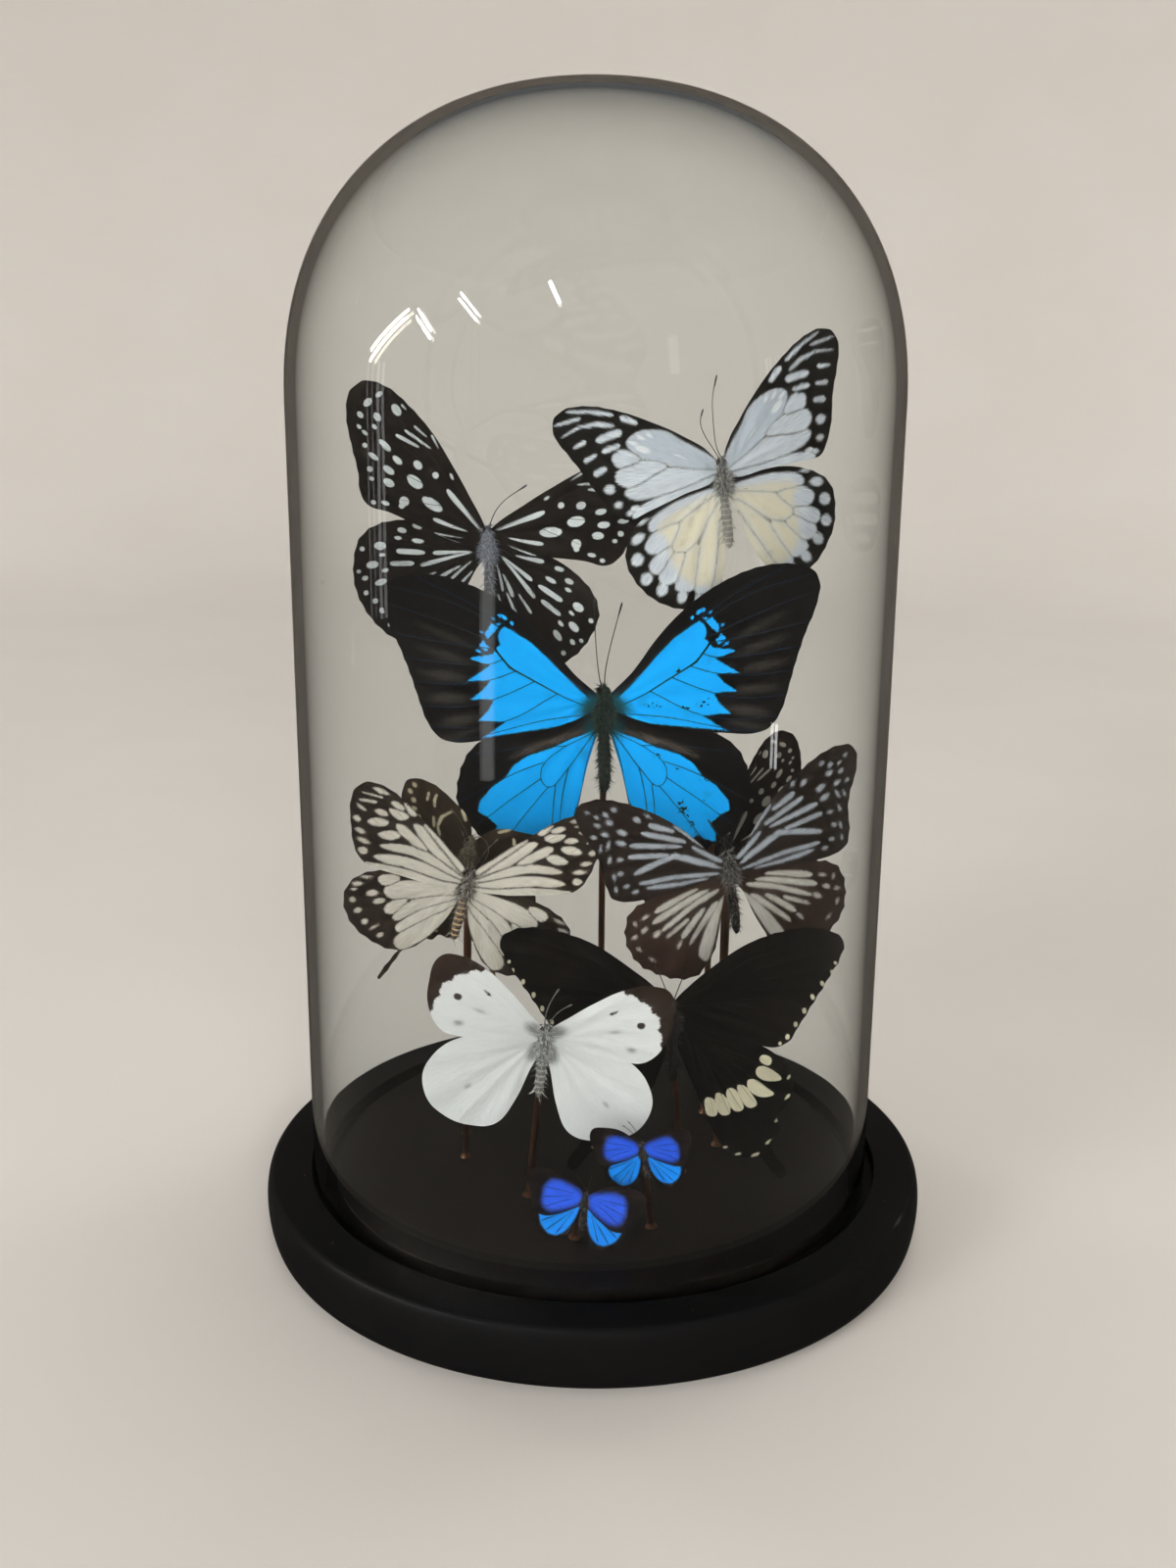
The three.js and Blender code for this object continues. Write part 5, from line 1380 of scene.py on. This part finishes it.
# Black-brown scales with faint rays; the cream blocks are crisp
black_scales = wing_scales("black_brown_scales_with_cream_blocks", "#0B0806", "#140F0B",
    [("rays", "#17120E", "#211A14", 0.8, 0.3), ("pale", "#E4DDC2", "#CFC6A6", 0.12, 0.14)], "#1F1813", 0.5)
mount("black_swallowtail", black_wings, "medium", (22.8, -19.5, 69.2), roll=2, yaw=-8, rise=(2, 2),
      lift={"fore": (-1, 2), "hind": (-2, -1)}, hinge=6, foot=(26.6, -16), scales=black_scales,
      vein_surface=vein_skin("black_brown_vein", "#120E0B"),
      skin=body_skin("black_skin", "#14110F", "#16120F", "#221C18"),
      coat=hair_coat("black_hair", "#161311", "#2E2824"),
      antennae=[[(-0.5, 6), (-1.4, 9), (-3.4, 15), (-4.6, 17.6)],
                [(0.5, 6), (1.5, 9), (3.6, 14.6), (5.2, 17)]])


# --- White butterfly, lower left ------------------------------------------------------------------
# A garden white: chalk-white wings with a ragged dark brown tip and two dark spots on the forewing.
# Fine creases fan out from the body.
white_wings = {
    "fore": draw_wing(
        [(0, 0), (3.5, 7.5), (8.5, 15), (14, 21), (20, 25), (25.5, 26), (28.5, 23.5), (30, 18),
            (30.5, 12.5), (29, 6.5), (26, 2.5), (20, 0.5), (10, -1), (2, -2)],
        {"tip": dict(
            blocks=[[(10.6, 18.4), (14.1, 20.9), (15.4, 20.3), (16.6, 21), (18.4, 20.6), (19.6, 19.6),
                (20.8, 19.9), (23, 19.4), (23.4, 18.2), (24.6, 18), (26.2, 17.6), (26.4, 16.4),
                (27.2, 15.2), (26.8, 13.8), (28.7, 12.5), (29, 10), (30.2, 8.2), (34, 9), (35, 30),
                (14, 32), (8, 20)]]),
         "spots": dict(
            spots=[(13.4, 13.3, 0.8, 0.45), (22.1, 13.2, 1.2, 1.0), (14, 13.9, 0.9, 0.3)]),
         "faint": dict(
            spots=[(22, 5.2, 1.0, 0.6), (1.5, 1.5, 3.0, 1.6), (16, 8.4, 0.6, 0.2)])},
        cell=[(11.5, 15), (16.5, 12), (11, 5)], ends=[(20, 24.4), (26, 25.2), (29.5, 19), (30, 13),
            (28.7, 7), (25, 2.3), (12, -0.7)]),
    "hind": draw_wing(
        [(0, 0), (7, 3), (15, 4), (22, 3), (28, 0), (32, -5.5), (32.5, -11), (30, -17.5), (24, -22.5),
            (16, -25), (11, -23.5), (6.5, -17), (3, -8)],
        {"tip": dict(),
         "spots": dict(),
         "faint": dict(
            spots=[(1.5, -2.5, 3.2, 1.8), (20, -12, 0.5, 0.3)])},
        cell=[(11, -2), (16.5, -7), (11, -10)], ends=[(22, 2.6), (30, -3), (32, -10), (29, -17),
            (23, -22), (16, -24.4), (9, -21)])
}
# Chalk-white scales, greyer by the body, deep creases along the veins, dark brown powdery tip
white_scales = wing_scales("chalk_white_scales_with_brown_tip", "#EDEFEE", "#F8F8F6",
    [("faint", "#A9AAA6", "#7D7C78", 0.9, 0.5), ("spots", "#2A2220", "#3A302B", 0.2, 0.35),
    ("tip", "#2A1F1A", "#3B2D24", 0.22, 0.7)], "#E2DCC0", 0.8, fold=4.5)
mount("cabbage_white", white_wings, "slim", (-14.2, -33, 67.4), roll=-6, yaw=-1, rise=(9, 9),
      lift={"fore": (-6, -12), "hind": (-8, -11)}, hinge=3, foot=(-19, -31), scales=white_scales,
      vein_surface=vein_skin("white_vein", "#C9CBC6"),
      skin=body_skin("grey_white_skin", "#5B5A58", "#6F6E6A", "#B0AFA8"),
      coat=hair_coat("white_and_grey_hair", "#5A5A58", "#E2E2DD"),
      antennae=[[(-0.4, 5.4), (-0.6, 9), (0.4, 13.5), (2.4, 17.8)],
                [(0.5, 5.4), (1.6, 8.6), (3.6, 11.4), (6.5, 13.5)]],
      vein_radius=0.11)


# --- Two small blues, in front --------------------------------------------------------------------
# Tiny hairstreaks, body and wings as one dried piece each: violet-blue forewings and azure
# hindwings inside a broad dark border. Dark rays cross the blue.
small_wings = {
    "fore": draw_wing(
        [(0, 0), (4.5, 4.5), (9, 6.2), (13.5, 5.8), (14.5, 4), (13.5, 0), (12, -4), (9.5, -5.2), (5, -4),
            (0.5, -1.5)],
        {"violet": dict(
            patches=[[(0.9, 0.5), (4.2, 2.7), (7.4, 3.6), (9.6, 2.7), (10.3, 0.4), (10.1, -2.6),
                (8.2, -3.7), (4.4, -2.9), (1.1, -1.1)]]),
         "rays": dict(
            streaks=[(0.06, 0.14, 3, 0.8, 10.5, 2.0), (0.06, 0.14, 3, 0.3, 10.6, -0.6),
                (0.06, 0.14, 3, -0.4, 9.6, -2.9)])},
        cell=[(5.5, 3.2), (7.5, 1.2), (5, -0.8)], ends=[(10, 5.9), (14, 4.4), (13.3, 0.8), (12.3, -2.8),
            (8.5, -4.8)],
        spacing=0.25,
        pull=0),
    "hind": draw_wing(
        [(0, 0), (5, -2), (9.5, -4), (10.5, -6.5), (9, -9.5), (6, -11.3), (3, -11), (0.8, -8), (0, -3)],
        {"azure": dict(
            patches=[[(1.0, -1.4), (5, -2.8), (9, -4.6), (9.4, -6.6), (8, -9), (5.6, -10.3), (3.4, -10),
                (1.6, -7.6), (0.8, -4)]]),
         "rays": dict(
            streaks=[(0.05, 0.16, 2.4, -2.4, 9.3, -5.8), (0.05, 0.16, 2.3, -2.9, 8.3, -8.2),
                (0.05, 0.16, 2, -3.2, 6.3, -9.8), (0.05, 0.14, 1.7, -3.2, 3.8, -9.8)])},
        cell=[(4.4, -3.0), (5.4, -5), (3, -5)], ends=[(9.6, -4.6), (10, -7), (8.4, -9.7), (5.8, -11),
            (2.4, -10.2)],
        spacing=0.25,
        pull=0)
}
# Structural blue again, finer: violet-blue to azure, soft at its edges, with dark rays
small_scales = wing_scales("violet_and_azure_scales_on_brown", "#191210", "#241A16",
    [("violet", "#2A6CF2", "#2B46CC", 1.0, 0.8), ("azure", "#10A4FA", "#1668E8", 0.3, 0.35),
    ("rays", "#0B1128", "#111838", 0.14, 0.16)], "#5A5046", 0.8, roughness=0.5)
small_vein = vein_skin("small_dark_vein", "#171A2C")
small_skin = body_skin("small_dark_skin", "#1A1817", "#2A2320", "#4A443E")
small_coat = hair_coat("small_dark_hair", "#24211F", "#6A645E")
mount("small_blue_upper", small_wings, "small", (13.8, -50, 42.6), roll=12, yaw=-8, rise=(8, 8),
      lift={"fore": (12, -4), "hind": (12, 3)}, hinge=1.5, one_piece=True, foot=(16.6, -48),
      scales=small_scales,
      vein_surface=small_vein, skin=small_skin, coat=small_coat, slot="small_blue", vein_radius=0.05,
      antennae=[[(-0.3, 3), (-1, 5), (-2.5, 7.6), (-4, 9.2)], [(0.2, 3), (0, 5), (-1, 8), (-2.2, 10.2)]])
mount("small_blue_lower", small_wings, "small", (-2.1, -57.5, 31.3), roll=-4, yaw=-3, lean=18, rise=(5, 5),
      lift={"fore": (0, -15), "hind": (16, 2)}, hinge=1.5, scale=1.12, one_piece=True, foot=(-5, -54.5),
      scales=small_scales, vein_surface=small_vein, skin=small_skin, coat=small_coat, slot="small_blue",
      vein_radius=0.05, antennae=[[(-0.3, 3), (-1.2, 5), (-3, 7.2)], [(0.3, 3), (0.8, 5), (1.2, 7.8)]])
